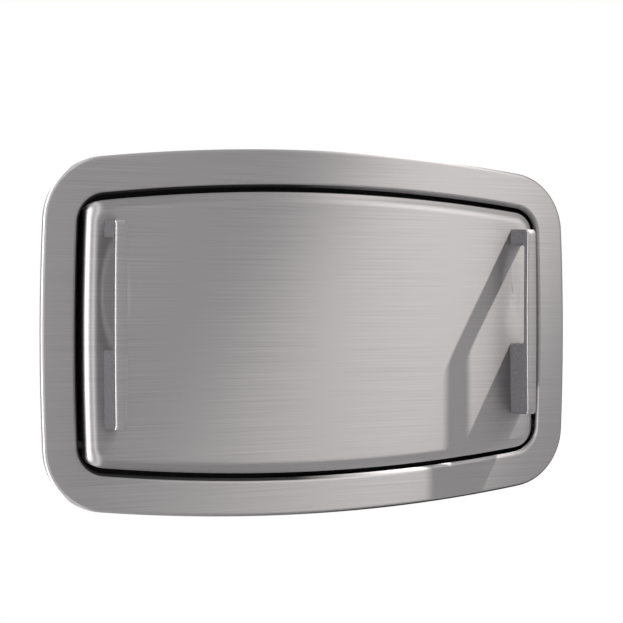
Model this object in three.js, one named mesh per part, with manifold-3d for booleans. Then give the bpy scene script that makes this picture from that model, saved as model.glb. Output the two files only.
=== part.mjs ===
// Recessed baby changing station, horizontal, with a brushed steel front.
// Millimetres. X runs to the right, Y into the wall, Z up. The origin is the centre of
// the wall flange, on the finished face of the wall. The bed is shown folded away.

import * as THREE from 'three';
import { mergeVertices } from 'three/addons/utils/BufferGeometryUtils.js';
import Module from 'manifold-3d';

const wasm = await Module();
wasm.setup();

// Wall flange: a pressed sheet with four bowed edges
const flangeWidth = 984;
const flangeHeight = 620;
const flangeTopBow = 39.3;
const flangeSideBow = 11.8;
const flangeCornerRadius = 107;
const flangeProud = 8;
const flangeSheet = 1.5;
const flangeEdgeRadius = 6;

// Opening in the flange, measured at the edge of its flat face
const borderSide = 54;
const borderTop = 59.5;
const openingTopBow = 30.1;
const openingSideBow = 7;
const openingCornerRadius = 50;
const rollRadius = 8;
const returnDepth = 2;

// Recess tub behind the flange
const tubDepth = 100;
const tubWall = 3;
const tubSideRoom = 15;
const tubTopRoom = 4.5;
const tubCornerRadius = 56;
const rimInset = 8;
const swageMargin = 173;
const swageHeight = 34;
const swagePitch = 130;
const swageDepth = 1.6;

// Bed: steel skin outside, moulded tray inside
const bedGap = 4;
const bedProud = 10;
const bedEdgeRadius = 22;
const bedDepth = 63;
const skinSheet = 1.2;
const skinDepth = 48;
const trayWall = 4;
const trayRimRadius = 5;
const dishSideMargin = 41;
const dishTopMargin = 40.5;
const dishBottomMargin = 96.5;
const dishDepth = 33;
const dishCornerRadius = 74;
const dishLipRadius = 8;
const dishWallAngle = 38;
const dishFootRadius = 26;

// Pull handles on the bed's outer face
const handleInset = 45.5;
const handleTopMargin = 58.5;
const handleBottomMargin = 89.5;
const handleWidth = 20;
const handleBow = 3;
const handleDraft = 3;
const handleReach = 52;
const handleBar = 11.5;
const handleTopBlock = 27;
const handleGap = 177;
const handleFillet = 8;
const handleEndRadius = 5;
const scoopWidth = 56;
const scoopHeight = 184;
const scoopDepth = 9;
const scoopShift = 6.5;

// Steel rails inside the bed that carry the handles and the hinge shaft
const railWidth = 40;
const railSheet = 3;
const railBossRadius = 7;
const railClear = 0.6;
const railEarBelow = 16;
const railEarAbove = 18;
const railEarDepth = 14;

// Hinge
const hingeSetback = 28;
const hingeRise = 62;
const shaftRadius = 7;
const bushWall = 3;
const bushFlange = 3;
const bushFlangeThickness = 2;
const plateSheet = 3;
const plateFront = 5;
const plateBackRoom = 7;
const plateBelow = 22;
const plateAbove = 290;
const plateCornerRadius = 12;

// Levers on the shaft, the stop and the damper
const leverStandoff = 6.4;
const leverSheet = 3.4;
const leverHubRadius = 11.5;
const leverEndRadius = 8;
const leverPinCircle = 24;
const leverPinRadius = 3;
const openAngle = Math.PI / 2;
const stopPinCircle = 30;
const stopPinRadius = 4;
const damperPlateGap = 10.2;
const damperRadius = 7.5;
const damperWall = 1.2;
const damperLength = 190;
const damperRounding = 2;
const damperRodRadius = 3;
const damperPistonLength = 12;
const damperRodInside = 60;
const damperGland = 10;
const damperRunOut = 8;
const yokeThickness = 6;
const yokeEdge = 5;
const yokePlay = 1;
const clampWall = 2.4;
const clampLength = 18;

// Bumpers that the closed bed rests against
const bumperInset = 22;
const bumperDrop = 88.5;
const bumperRadius = 9;
const bumperLength = 10;
const bumperPostRadius = 12;

// Liner bin on the back of the recess
const binWidth = 300;
const binHeight = 116;
const binTopDrop = 81;
const binDepth = 40;
const binWall = 2.5;
const binMouthWidth = 190;
const binMouthHeight = 26;
const binMouthRise = 16;
const lidThickness = 3;
const lidPinRadius = 2;
const lidKnuckleRadius = 4.2;
const lidKnuckleLength = 60;
const lidKnuckleSpacing = 190;
const lidTabWidth = 26;
const lidTabDrop = 9;
const lockRadius = 9;
const lockHeadLip = 2;
const lockDrop = 26;
const lockProud = 3;
const lockCamReach = 20;
const lockCamWidth = 8;
const lockCamSheet = 2;

// Safety strap across the dish
const strapWidth = 45;
const strapThickness = 1.6;
const strapSlotMargin = 72;
const strapSlot = 5;
const strapDive = 6;
const strapFree = 2.8;
const strapTurn = 4;
const strapSideRoom = 1;
const buckleWidth = 58;
const buckleHeight = 58;
const buckleThickness = 14;
const buckleRound = 5;
const tongueSheet = 3;
const tongueInside = 34;
const tongueOutside = 10;
const tongueHead = 14;
const tongueHeadThickness = 10;
const tongueRail = 7;
const buttonSize = 22;
const buttonProud = 1.5;
const buttonTravel = 3;
const buttonDepth = 6;
const buttonRound = 2;
const strapTuck = 7;
const anchorRadius = 3;
const anchorOverhang = 8;

// Fasteners
const screwRadius = 3;
const screwHeadRadius = 5.5;
const screwHeadHeight = 4;
const screwHeadCrown = 1.7;
const handleScrewBite = 26;
const handleScrewRise = 62;
const wallScrewReach = 15;
const wallScrewInset = 22;
const wallScrewPitch = 110;

// Fits between neighbours
const seatGap = 0.3;
const boreGap = 0.35;
const overcut = 1;
const sliver = 0.01;

// Roundness
const edgeSteps = 8;
const sideSteps = 4;
const cornerSteps = 5;
const bendSteps = 3;
const rollSteps = 4;
const curveSteps = 3;
const fineCurveSteps = 6;
const roundSides = 16;
const screwSides = 10;
const scoopSides = 16;
const scoopRows = 5;

const quarter = Math.PI / 2;

// Places that follow from the sizes above
const openingWidth = flangeWidth - 2 * borderSide;
const openingHeight = flangeHeight - 2 * borderTop;
const openingTopRadius = bowRadius(openingWidth, openingTopBow);
const openingSideRadius = bowRadius(openingHeight, openingSideBow);
const flangeFaceY = -flangeProud;
const bedFaceY = flangeFaceY - bedProud;
const bedRimY = bedFaceY + bedDepth;
const dishFloorY = bedRimY - dishDepth;
const bedInset = rollRadius + bedGap;
const bedHalfWidth = openingWidth / 2 - bedInset;
const bedHalfHeight = openingHeight / 2 - bedInset;
const hingeY = bedFaceY + hingeSetback;
const hingeZ = -bedHalfHeight + hingeRise;
const tubHalfWidth = openingWidth / 2 + tubSideRoom;
const tubHalfHeight = openingHeight / 2 + tubTopRoom;
const tubBackY = tubDepth - tubWall;
const plateOuterX = tubHalfWidth - seatGap;
const plateInnerX = plateOuterX - plateSheet;
const plateBackY = tubBackY - plateBackRoom;
const wallScrewY = plateBackY - wallScrewInset;
const leverInnerX = bedHalfWidth + leverStandoff;
const leverOuterX = leverInnerX + leverSheet;
const damperX = plateInnerX - damperPlateGap;
const dishRaise = (dishBottomMargin - dishTopMargin) / 2;
const dishHalfHeight = bedHalfHeight - (dishBottomMargin + dishTopMargin) / 2;
const handleX = bedHalfWidth - handleInset;
const handleTop = bedHalfHeight - handleTopMargin;
const handleBottom = handleBottomMargin - bedHalfHeight;
const railFrontY = bedFaceY + scoopDepth + skinSheet + railClear;
const railBackY = railFrontY + railSheet;
const railOuterX = handleX + railWidth / 2;
const handleScrewHeights = [handleTop - handleTopBlock / 2, handleBottom + handleScrewRise];
const bumperX = bedHalfWidth - bumperInset;
const bumperZ = bedHalfHeight - bumperDrop;
const binTopZ = tubHalfHeight - binTopDrop;
const binBottomZ = binTopZ - binHeight;

const flangeOutline = {
  halfWidth: flangeWidth / 2,
  halfHeight: flangeHeight / 2,
  topRadius: bowRadius(flangeWidth, flangeTopBow),
  sideRadius: bowRadius(flangeHeight, flangeSideBow),
  corner: flangeCornerRadius,
};
const openingOutline = {
  halfWidth: openingWidth / 2,
  halfHeight: openingHeight / 2,
  topRadius: openingTopRadius,
  sideRadius: openingSideRadius,
  corner: openingCornerRadius,
};
const dishOutline = {
  halfWidth: bedHalfWidth - dishSideMargin,
  halfHeight: dishHalfHeight,
  topRadius: openingTopRadius,
  sideRadius: openingSideRadius,
  corner: dishCornerRadius,
  raise: dishRaise,
};

const brushedSteel = new THREE.MeshStandardMaterial({ color: 0xb9b6b3, roughness: 0.35, metalness: 1 });
const zincSteel = new THREE.MeshStandardMaterial({ color: 0xa3a5a6, roughness: 0.45, metalness: 1 });
const groundSteel = new THREE.MeshStandardMaterial({ color: 0xc8c9ca, roughness: 0.2, metalness: 1 });
const blackSteel = new THREE.MeshStandardMaterial({ color: 0x1b1b1d, roughness: 0.4, metalness: 0.3 });
const tubPlastic = new THREE.MeshStandardMaterial({ color: 0x17171a, roughness: 0.6, metalness: 0 });
const trayPlastic = new THREE.MeshStandardMaterial({ color: 0xb6b4b0, roughness: 0.55, metalness: 0 });
const handlePlastic = new THREE.MeshStandardMaterial({ color: 0x86838a, roughness: 0.5, metalness: 0 });
const nylon = new THREE.MeshStandardMaterial({ color: 0xdedad0, roughness: 0.5, metalness: 0 });
const rubber = new THREE.MeshStandardMaterial({ color: 0x141414, roughness: 0.85, metalness: 0 });
const webbing = new THREE.MeshStandardMaterial({ color: 0x2a2b30, roughness: 0.9, metalness: 0 });
const bucklePlastic = new THREE.MeshStandardMaterial({ color: 0x1a1a1c, roughness: 0.4, metalness: 0 });
const buttonPlastic = new THREE.MeshStandardMaterial({ color: 0xa8261f, roughness: 0.4, metalness: 0 });

const station = new THREE.Group();
const wallUnit = new THREE.Group();
const bed = new THREE.Group();
const linerBin = new THREE.Group();
const safetyStrap = new THREE.Group();
bed.add(safetyStrap);
wallUnit.add(linerBin);
station.add(wallUnit, bed);

// Radius of an arc that rises by its bow over a chord
function bowRadius(chord, bow) {
  return (chord ** 2 / 4 + bow ** 2) / (2 * bow);
}

// A closed geometry becomes a solid for joining and cutting
function solid(geometry) {
  const bare = geometry.clone();
  bare.deleteAttribute('normal');
  bare.deleteAttribute('uv');
  const merged = mergeVertices(bare, 1e-4);
  return new wasm.Manifold(new wasm.Mesh({
    numProp: 3,
    vertProperties: new Float32Array(merged.attributes.position.array),
    triVerts: new Uint32Array(merged.index.array),
  }));
}

function toGeometry(body) {
  const { vertProperties, triVerts } = body.getMesh();
  const geometry = new THREE.BufferGeometry();
  geometry.setAttribute('position', new THREE.BufferAttribute(new Float32Array(vertProperties), 3));
  geometry.setIndex(new THREE.BufferAttribute(new Uint32Array(triVerts), 1));
  geometry.computeVertexNormals();
  return geometry;
}

function add(group, name, shape, material, x = 0, y = 0, z = 0) {
  const geometry = shape instanceof THREE.BufferGeometry ? shape : toGeometry(shape);
  const mesh = new THREE.Mesh(geometry, material);
  mesh.name = name;
  mesh.position.set(x, y, z);
  group.add(mesh);
  return mesh;
}

// Points around four shallow arcs and the corner arcs that join them smoothly, in X and Z.
// An inset keeps every centre and shortens every radius, so insets of one outline run parallel.
function outlinePoints(outline, inset = 0) {
  const { halfWidth, halfHeight, topRadius, sideRadius, corner, raise = 0 } = outline;
  const topCentre = new THREE.Vector2(0, halfHeight - topRadius);
  const sideCentre = new THREE.Vector2(halfWidth - sideRadius, 0);
  const toTop = topRadius - corner;
  const toSide = sideRadius - corner;
  const span = sideCentre.clone().sub(topCentre);
  const distance = span.length();
  const along = (toTop ** 2 - toSide ** 2 + distance ** 2) / (2 * distance);
  const across = Math.sqrt(toTop ** 2 - along ** 2);
  span.normalize();
  const cornerCentre = new THREE.Vector2(span.y, -span.x).multiplyScalar(across);
  cornerCentre.add(span.multiplyScalar(along)).add(topCentre);
  const sideTilt = Math.asin(cornerCentre.y / toSide);
  const topTilt = Math.asin(cornerCentre.x / toTop);
  const otherCorner = new THREE.Vector2(-cornerCentre.x, cornerCentre.y);
  const [topFrom, topTo] = [quarter - topTilt, quarter + topTilt];
  const arcs = [
    { centre: sideCentre, radius: sideRadius, from: -sideTilt, to: sideTilt, steps: sideSteps },
    { centre: cornerCentre, radius: corner, from: sideTilt, to: topFrom, steps: cornerSteps },
    { centre: topCentre, radius: topRadius, from: topFrom, to: topTo, steps: edgeSteps },
    { centre: otherCorner, radius: corner, from: topTo, to: Math.PI - sideTilt, steps: cornerSteps },
  ];
  const half = [];
  for (const { centre, radius, from, to, steps } of arcs) {
    for (let step = 0; step < steps; step += 1) {
      const angle = from + (to - from) * step / steps;
      const reach = new THREE.Vector2(Math.cos(angle), Math.sin(angle)).multiplyScalar(radius - inset);
      half.push(reach.add(centre));
    }
  }
  const points = [...half, ...half.map((point) => point.clone().negate())];
  return points.map((point) => point.setY(point.y + raise));
}

function ring(outline, inset, y) {
  return { points: outlinePoints(outline, inset), y };
}

// Rings along a quarter of a bend, from one angle to another in the plane of inset and Y
function bend(outline, inset, y, radius, from, to, steps) {
  const rings = [];
  for (let step = 0; step <= steps; step += 1) {
    const angle = from + (to - from) * step / steps;
    rings.push(ring(outline, inset + radius * Math.cos(angle), y + radius * Math.sin(angle)));
  }
  return rings;
}

// Skin over rings of equal count: a closed loop of rings, or a stack with a flat face at each end
function loft(rings, loop = false) {
  const count = rings[0].points.length;
  const position = [];
  const index = [];
  for (const { points, y } of rings) {
    for (const point of points) position.push(point.x, y, point.y);
  }
  const joins = loop ? rings.length : rings.length - 1;
  for (let row = 0; row < joins; row += 1) {
    for (let column = 0; column < count; column += 1) {
      const next = (column + 1) % count;
      const here = row * count;
      const there = ((row + 1) % rings.length) * count;
      index.push(here + column, here + next, there + next);
      index.push(here + column, there + next, there + column);
    }
  }
  if (!loop) {
    for (const row of [0, rings.length - 1]) {
      const faces = THREE.ShapeUtils.triangulateShape(rings[row].points, []);
      const base = row * count;
      for (const [a, b, c] of faces) {
        if (row === 0) index.push(base + a, base + c, base + b);
        else index.push(base + a, base + b, base + c);
      }
    }
  }
  const geometry = new THREE.BufferGeometry();
  geometry.setAttribute('position', new THREE.Float32BufferAttribute(position, 3));
  geometry.setIndex(index);
  if (signedVolume(geometry) < 0) {
    for (let i = 0; i < index.length; i += 3) [index[i], index[i + 1]] = [index[i + 1], index[i]];
    geometry.setIndex(index);
  }
  return geometry;
}

function signedVolume(geometry) {
  const corners = geometry.attributes.position;
  const index = geometry.index.array;
  const [a, b, c] = [new THREE.Vector3(), new THREE.Vector3(), new THREE.Vector3()];
  let volume = 0;
  for (let i = 0; i < index.length; i += 3) {
    a.fromBufferAttribute(corners, index[i]);
    b.fromBufferAttribute(corners, index[i + 1]);
    c.fromBufferAttribute(corners, index[i + 2]);
    volume += a.dot(b.cross(c)) / 6;
  }
  return volume;
}

// Shape drawn in X and Z, from one depth to another
function extrudeDeep(shape, fromY, toY, curveSegments = curveSteps) {
  const settings = { depth: toY - fromY, bevelEnabled: false, curveSegments };
  const geometry = new THREE.ExtrudeGeometry(shape, settings);
  return geometry.rotateX(quarter).translate(0, toY, 0);
}

// Shape drawn in Y and Z, from one X to another
function extrudeAcross(shape, fromX, toX, curveSegments = curveSteps) {
  const settings = { depth: toX - fromX, bevelEnabled: false, curveSegments };
  const geometry = new THREE.ExtrudeGeometry(shape, settings);
  const turn = new THREE.Matrix4().makeBasis(
    new THREE.Vector3(0, 1, 0),
    new THREE.Vector3(0, 0, 1),
    new THREE.Vector3(1, 0, 0),
  );
  return geometry.applyMatrix4(turn).translate(fromX, 0, 0);
}

function box(fromX, toX, fromY, toY, fromZ, toZ) {
  const geometry = new THREE.BoxGeometry(toX - fromX, toY - fromY, toZ - fromZ);
  return geometry.translate((fromX + toX) / 2, (fromY + toY) / 2, (fromZ + toZ) / 2);
}

function rodAlongX(radius, fromX, toX, y, z, sides = roundSides) {
  const geometry = new THREE.CylinderGeometry(radius, radius, toX - fromX, sides);
  return geometry.rotateZ(quarter).translate((fromX + toX) / 2, y, z);
}

function rodAlongY(radius, fromY, toY, x, z, sides = roundSides) {
  const geometry = new THREE.CylinderGeometry(radius, radius, toY - fromY, sides);
  return geometry.translate(x, (fromY + toY) / 2, z);
}

function roundedRectangle(halfWidth, halfHeight, radius, centreX = 0, centreZ = 0) {
  const shape = new THREE.Shape();
  const across = halfWidth - radius;
  const up = halfHeight - radius;
  shape.absarc(centreX + across, centreZ + up, radius, 0, quarter);
  shape.absarc(centreX - across, centreZ + up, radius, quarter, 2 * quarter);
  shape.absarc(centreX - across, centreZ - up, radius, 2 * quarter, 3 * quarter);
  shape.absarc(centreX + across, centreZ - up, radius, 3 * quarter, 4 * quarter);
  shape.closePath();
  return shape;
}

// Bar with round ends between two points of a plane
function linkShape(from, fromRadius, to, toRadius) {
  const span = to.clone().sub(from);
  const heading = span.angle();
  const flare = Math.acos((fromRadius - toRadius) / span.length());
  const shape = new THREE.Shape();
  shape.absarc(from.x, from.y, fromRadius, heading + flare, heading - flare + 4 * quarter);
  shape.absarc(to.x, to.y, toRadius, heading - flare, heading + flare);
  shape.closePath();
  return shape;
}

// Facets cut into a round hole, so a bore is drawn a little larger than its pin
function boreFor(radius) {
  return (radius + boreGap) / Math.cos(Math.PI / roundSides);
}

// Screw pointing along -Y with its head's seat at the origin
function screw(length) {
  const profile = [
    new THREE.Vector2(0, -length),
    new THREE.Vector2(screwRadius, -length),
    new THREE.Vector2(screwRadius, 0),
    new THREE.Vector2(screwHeadRadius, 0),
    new THREE.Vector2(screwHeadRadius, screwHeadHeight - screwHeadCrown),
    new THREE.Vector2(screwHeadRadius - screwHeadCrown, screwHeadHeight),
    new THREE.Vector2(0, screwHeadHeight),
  ];
  return new THREE.LatheGeometry(profile, screwSides);
}

// Flange: round outer edge, flat face, rolled inner edge and a short return
function flangeFrame() {
  const edgeY = flangeFaceY + flangeEdgeRadius;
  const rollY = flangeFaceY + rollRadius;
  const innerRoll = rollRadius - flangeSheet;
  const innerEdge = flangeEdgeRadius - flangeSheet;
  return loft([
    ring(flangeOutline, 0, 0),
    ...bend(flangeOutline, flangeEdgeRadius, edgeY, flangeEdgeRadius, 2 * quarter, 3 * quarter, bendSteps),
    ...bend(openingOutline, 0, rollY, rollRadius, 3 * quarter, 4 * quarter, rollSteps),
    ring(openingOutline, rollRadius, rollY + returnDepth),
    ring(openingOutline, innerRoll, rollY + returnDepth),
    ...bend(openingOutline, 0, rollY, innerRoll, 4 * quarter, 3 * quarter, bendSteps),
    ...bend(flangeOutline, flangeEdgeRadius, edgeY, innerEdge, 3 * quarter, 2 * quarter, bendSteps),
    ring(flangeOutline, flangeSheet, 0),
  ], true);
}

// Tub: straight sides, flat back with pressed swages, a wide rim behind the flange and bumper posts
function recessTub() {
  const rim = new THREE.Shape(outlinePoints(flangeOutline, rimInset));
  const mouth = roundedRectangle(tubHalfWidth, tubHalfHeight, tubCornerRadius);
  rim.holes.push(mouth);
  const outside = roundedRectangle(
    tubHalfWidth + tubWall,
    tubHalfHeight + tubWall,
    tubCornerRadius + tubWall,
  );
  const rimFront = flangeFaceY + flangeSheet + seatGap;
  let tub = solid(extrudeDeep(rim, rimFront, 0));
  const walls = solid(extrudeDeep(outside, rimFront, tubDepth));
  tub = tub.add(walls).subtract(solid(extrudeDeep(mouth, rimFront - overcut, tubBackY)));
  for (const level of [-1, 0, 1]) {
    const half = swageHeight / 2;
    const swage = roundedRectangle(tubHalfWidth - swageMargin, half, half - sliver, 0, level * swagePitch);
    tub = tub.subtract(solid(extrudeDeep(swage, tubDepth - swageDepth, tubDepth + overcut)));
  }
  for (const side of [-1, 1]) {
    const postX = side * bumperX;
    const postFront = bedRimY + seatGap + bumperLength + seatGap;
    tub = tub.add(solid(rodAlongY(bumperPostRadius, postFront, tubBackY + tubWall / 2, postX, bumperZ)));
    for (const screwZ of wallScrewHeights()) {
      const reach = 2 * tubWall;
      const bore = rodAlongX(boreFor(screwRadius), -reach, reach, wallScrewY, screwZ, screwSides);
      tub = tub.subtract(solid(bore.translate(side * tubHalfWidth, 0, 0)));
    }
  }
  return tub;
}

function wallScrewHeights() {
  const middle = hingeZ + (plateAbove - plateBelow) / 2;
  return [middle - wallScrewPitch, middle, middle + wallScrewPitch];
}

// Steel plate on a side wall of the tub, bored for the hinge bush, the screws and the stop pin
function wallPlate(side) {
  const shape = roundedRectangle(
    (plateBackY - plateFront) / 2,
    (plateAbove + plateBelow) / 2,
    plateCornerRadius,
    (plateBackY + plateFront) / 2,
    hingeZ + (plateAbove - plateBelow) / 2,
  );
  const fromX = side > 0 ? plateInnerX : -plateOuterX;
  const [boreFrom, boreTo] = [fromX - plateSheet, fromX + 2 * plateSheet];
  let plate = solid(extrudeAcross(shape, fromX, fromX + plateSheet));
  const bores = [[boreFor(shaftRadius + boreGap + bushWall), hingeY, hingeZ]];
  for (const screwZ of wallScrewHeights()) bores.push([boreFor(screwRadius), wallScrewY, screwZ]);
  if (side < 0) bores.push([boreFor(stopPinRadius), stopPinPlace().x, stopPinPlace().y]);
  for (const [radius, y, z] of bores) {
    plate = plate.subtract(solid(rodAlongX(radius, boreFrom, boreTo, y, z)));
  }
  return plate;
}

// Flanged bush in a wall plate
function hingeBush() {
  const bore = boreFor(shaftRadius);
  const body = bore + bushWall - boreGap;
  const flange = body + bushFlange;
  const seat = plateInnerX - seatGap;
  const profile = [
    new THREE.Vector2(bore, seat - bushFlangeThickness),
    new THREE.Vector2(flange, seat - bushFlangeThickness),
    new THREE.Vector2(flange, seat),
    new THREE.Vector2(body, seat),
    new THREE.Vector2(body, plateOuterX - seatGap),
    new THREE.Vector2(bore, plateOuterX - seatGap),
    new THREE.Vector2(bore, seat - bushFlangeThickness),
  ];
  return new THREE.LatheGeometry(profile, roundSides).rotateZ(-quarter);
}

// Lever pin at rest, in Y and Z: it swings evenly to both sides of the level through the shaft
function leverPinPlace() {
  const angle = -openAngle / 2;
  return new THREE.Vector2(
    hingeY + leverPinCircle * Math.cos(angle),
    hingeZ + leverPinCircle * Math.sin(angle),
  );
}

// Stop pin, just past the end of the lever when the bed lies level
function stopPinPlace() {
  const reach = leverEndRadius + stopPinRadius + seatGap;
  const between = leverPinCircle ** 2 + stopPinCircle ** 2 - reach ** 2;
  const past = Math.acos(between / (2 * leverPinCircle * stopPinCircle));
  const angle = openAngle / 2 + past;
  return new THREE.Vector2(
    hingeY + stopPinCircle * Math.cos(angle),
    hingeZ + stopPinCircle * Math.sin(angle),
  );
}

function hingeLever(side) {
  const shaft = new THREE.Vector2(hingeY, hingeZ);
  const shape = linkShape(shaft, leverHubRadius, leverPinPlace(), leverEndRadius);
  const fromX = side > 0 ? leverInnerX : -leverOuterX;
  const toX = fromX + leverSheet;
  let lever = solid(extrudeAcross(shape, fromX, toX, fineCurveSteps));
  const bore = rodAlongX(boreFor(shaftRadius), fromX - overcut, toX + overcut, hingeY, hingeZ);
  lever = lever.subtract(solid(bore));
  if (side > 0) {
    const pin = leverPinPlace();
    lever = lever.add(solid(rodAlongX(leverPinRadius, leverInnerX, yokeOuterX() + seatGap, pin.x, pin.y)));
  }
  return lever;
}

function yokeOuterX() {
  return damperX + yokeThickness / 2;
}

// Line of the damper: midway between the ends and the middle of the lever pin's swing
function damperY() {
  const ends = leverPinCircle * Math.cos(openAngle / 2);
  return hingeY + (ends + leverPinCircle) / 2;
}

// Yoke on the damper rod: a cross slot that the lever pin slides along
function damperYoke() {
  const pin = leverPinPlace();
  const swing = leverPinCircle * (1 - Math.cos(openAngle / 2)) / 2;
  const slotRadius = leverPinRadius + yokePlay;
  const slotHalf = swing + slotRadius + seatGap;
  const slot = roundedRectangle(slotHalf, slotRadius, slotRadius - sliver, damperY(), pin.y);
  const plate = roundedRectangle(
    slotHalf + yokeEdge,
    slotRadius + yokeEdge,
    yokeEdge,
    damperY(),
    pin.y,
  );
  plate.holes.push(slot);
  return extrudeAcross(plate, damperX - yokeThickness / 2, yokeOuterX());
}

function damperPlaces() {
  const yokeTop = leverPinPlace().y + leverPinRadius + yokePlay + yokeEdge;
  const stroke = 2 * leverPinCircle * Math.sin(openAngle / 2);
  const bottom = yokeTop + stroke + damperRunOut;
  return { yokeTop, stroke, bottom, top: bottom + damperLength };
}

// Damper rod with its piston, standing on the yoke
function damperRod() {
  const { yokeTop, bottom } = damperPlaces();
  const piston = damperRadius - damperWall - boreGap;
  const top = bottom + damperGland + damperRodInside;
  const profile = [
    new THREE.Vector2(0, yokeTop + seatGap),
    new THREE.Vector2(damperRodRadius, yokeTop + seatGap),
    new THREE.Vector2(damperRodRadius, top - damperPistonLength),
    new THREE.Vector2(piston, top - damperPistonLength),
    new THREE.Vector2(piston, top),
    new THREE.Vector2(0, top),
  ];
  return new THREE.LatheGeometry(profile, roundSides).rotateX(quarter).translate(damperX, damperY(), 0);
}

// Damper cylinder: tube, closed top and a gland that the rod slides through
function damperCylinder() {
  const { bottom, top } = damperPlaces();
  const chamber = (damperRadius - damperWall) / Math.cos(Math.PI / roundSides);
  const gland = boreFor(damperRodRadius);
  const rounding = damperRounding;
  const profile = [
    new THREE.Vector2(0, top),
    new THREE.Vector2(damperRadius - rounding, top),
    new THREE.Vector2(damperRadius, top - rounding),
    new THREE.Vector2(damperRadius, bottom + rounding),
    new THREE.Vector2(damperRadius - rounding, bottom),
    new THREE.Vector2(gland, bottom),
    new THREE.Vector2(gland, bottom + damperGland),
    new THREE.Vector2(chamber, bottom + damperGland),
    new THREE.Vector2(chamber, top - damperGland),
    new THREE.Vector2(0, top - damperGland),
  ];
  const tube = new THREE.LatheGeometry(profile.reverse(), roundSides);
  return tube.rotateX(quarter).translate(damperX, damperY(), 0);
}

// Saddle clamp that holds the damper against the wall plate
function damperClamp(centreZ) {
  const bore = boreFor(damperRadius);
  const outer = bore + clampWall;
  const seatX = plateInnerX - seatGap;
  const shell = solid(new THREE.CylinderGeometry(outer, outer, clampLength, roundSides)
    .rotateX(quarter).translate(damperX, damperY(), centreZ));
  const foot = solid(box(damperX, seatX, damperY() - outer, damperY() + outer,
    centreZ - clampLength / 2, centreZ + clampLength / 2));
  const hole = solid(new THREE.CylinderGeometry(bore, bore, 2 * clampLength, roundSides)
    .rotateX(quarter).translate(damperX, damperY(), centreZ));
  const behind = solid(box(seatX, seatX + outer, damperY() - 2 * outer, damperY() + 2 * outer,
    centreZ - clampLength, centreZ + clampLength));
  return shell.add(foot).subtract(hole).subtract(behind);
}

// Steel skin: flat face, round edge, straight side wall, two finger scoops behind the handles
function bedSkin() {
  const edgeY = bedFaceY + bedEdgeRadius;
  const wallEnd = bedFaceY + skinDepth;
  const edgeInset = bedInset + bedEdgeRadius;
  const outer = solid(loft([
    ...bend(openingOutline, edgeInset, edgeY, bedEdgeRadius, 3 * quarter, 2 * quarter, rollSteps),
    ring(openingOutline, bedInset, wallEnd),
  ]));
  const inner = solid(loft([
    ...bend(openingOutline, edgeInset, edgeY, bedEdgeRadius - skinSheet, 3 * quarter, 2 * quarter, rollSteps),
    ring(openingOutline, bedInset + skinSheet, wallEnd + overcut),
  ]));
  let skin = outer;
  let hollow = inner;
  for (const side of [-1, 1]) {
    skin = skin.subtract(solid(scoop(side, bedFaceY)));
    hollow = hollow.subtract(solid(scoop(side, bedFaceY + skinSheet)));
  }
  skin = skin.subtract(hollow);
  skin = skin.subtract(solid(rodAlongX(boreFor(shaftRadius), -tubHalfWidth, tubHalfWidth, hingeY, hingeZ)));
  for (const side of [-1, 1]) {
    for (const screwZ of handleScrewHeights) {
      const [from, to] = [bedFaceY - skinSheet, bedFaceY + 2 * skinSheet];
      const bore = rodAlongY(boreFor(screwRadius), from, to, side * handleX, screwZ, screwSides);
      skin = skin.subtract(solid(bore));
    }
  }
  return skin;
}

// Ellipses that sink from the face to the scoop's floor on half a wave, so that no hard rim is left
function scoop(side, faceY) {
  const centreX = side * (handleX - scoopShift);
  const centreZ = handleTop - handleTopBlock - handleGap / 2;
  const rings = [];
  for (let row = 0; row < scoopRows; row += 1) {
    const share = 1 - row / scoopRows;
    const sink = scoopDepth * (1 + Math.cos(Math.PI * share)) / 2;
    const curve = new THREE.EllipseCurve(centreX, centreZ, share * scoopWidth / 2, share * scoopHeight / 2);
    rings.push({ points: curve.getPoints(scoopSides).slice(1), y: faceY + sink - sliver });
  }
  return loft(rings);
}

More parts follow.
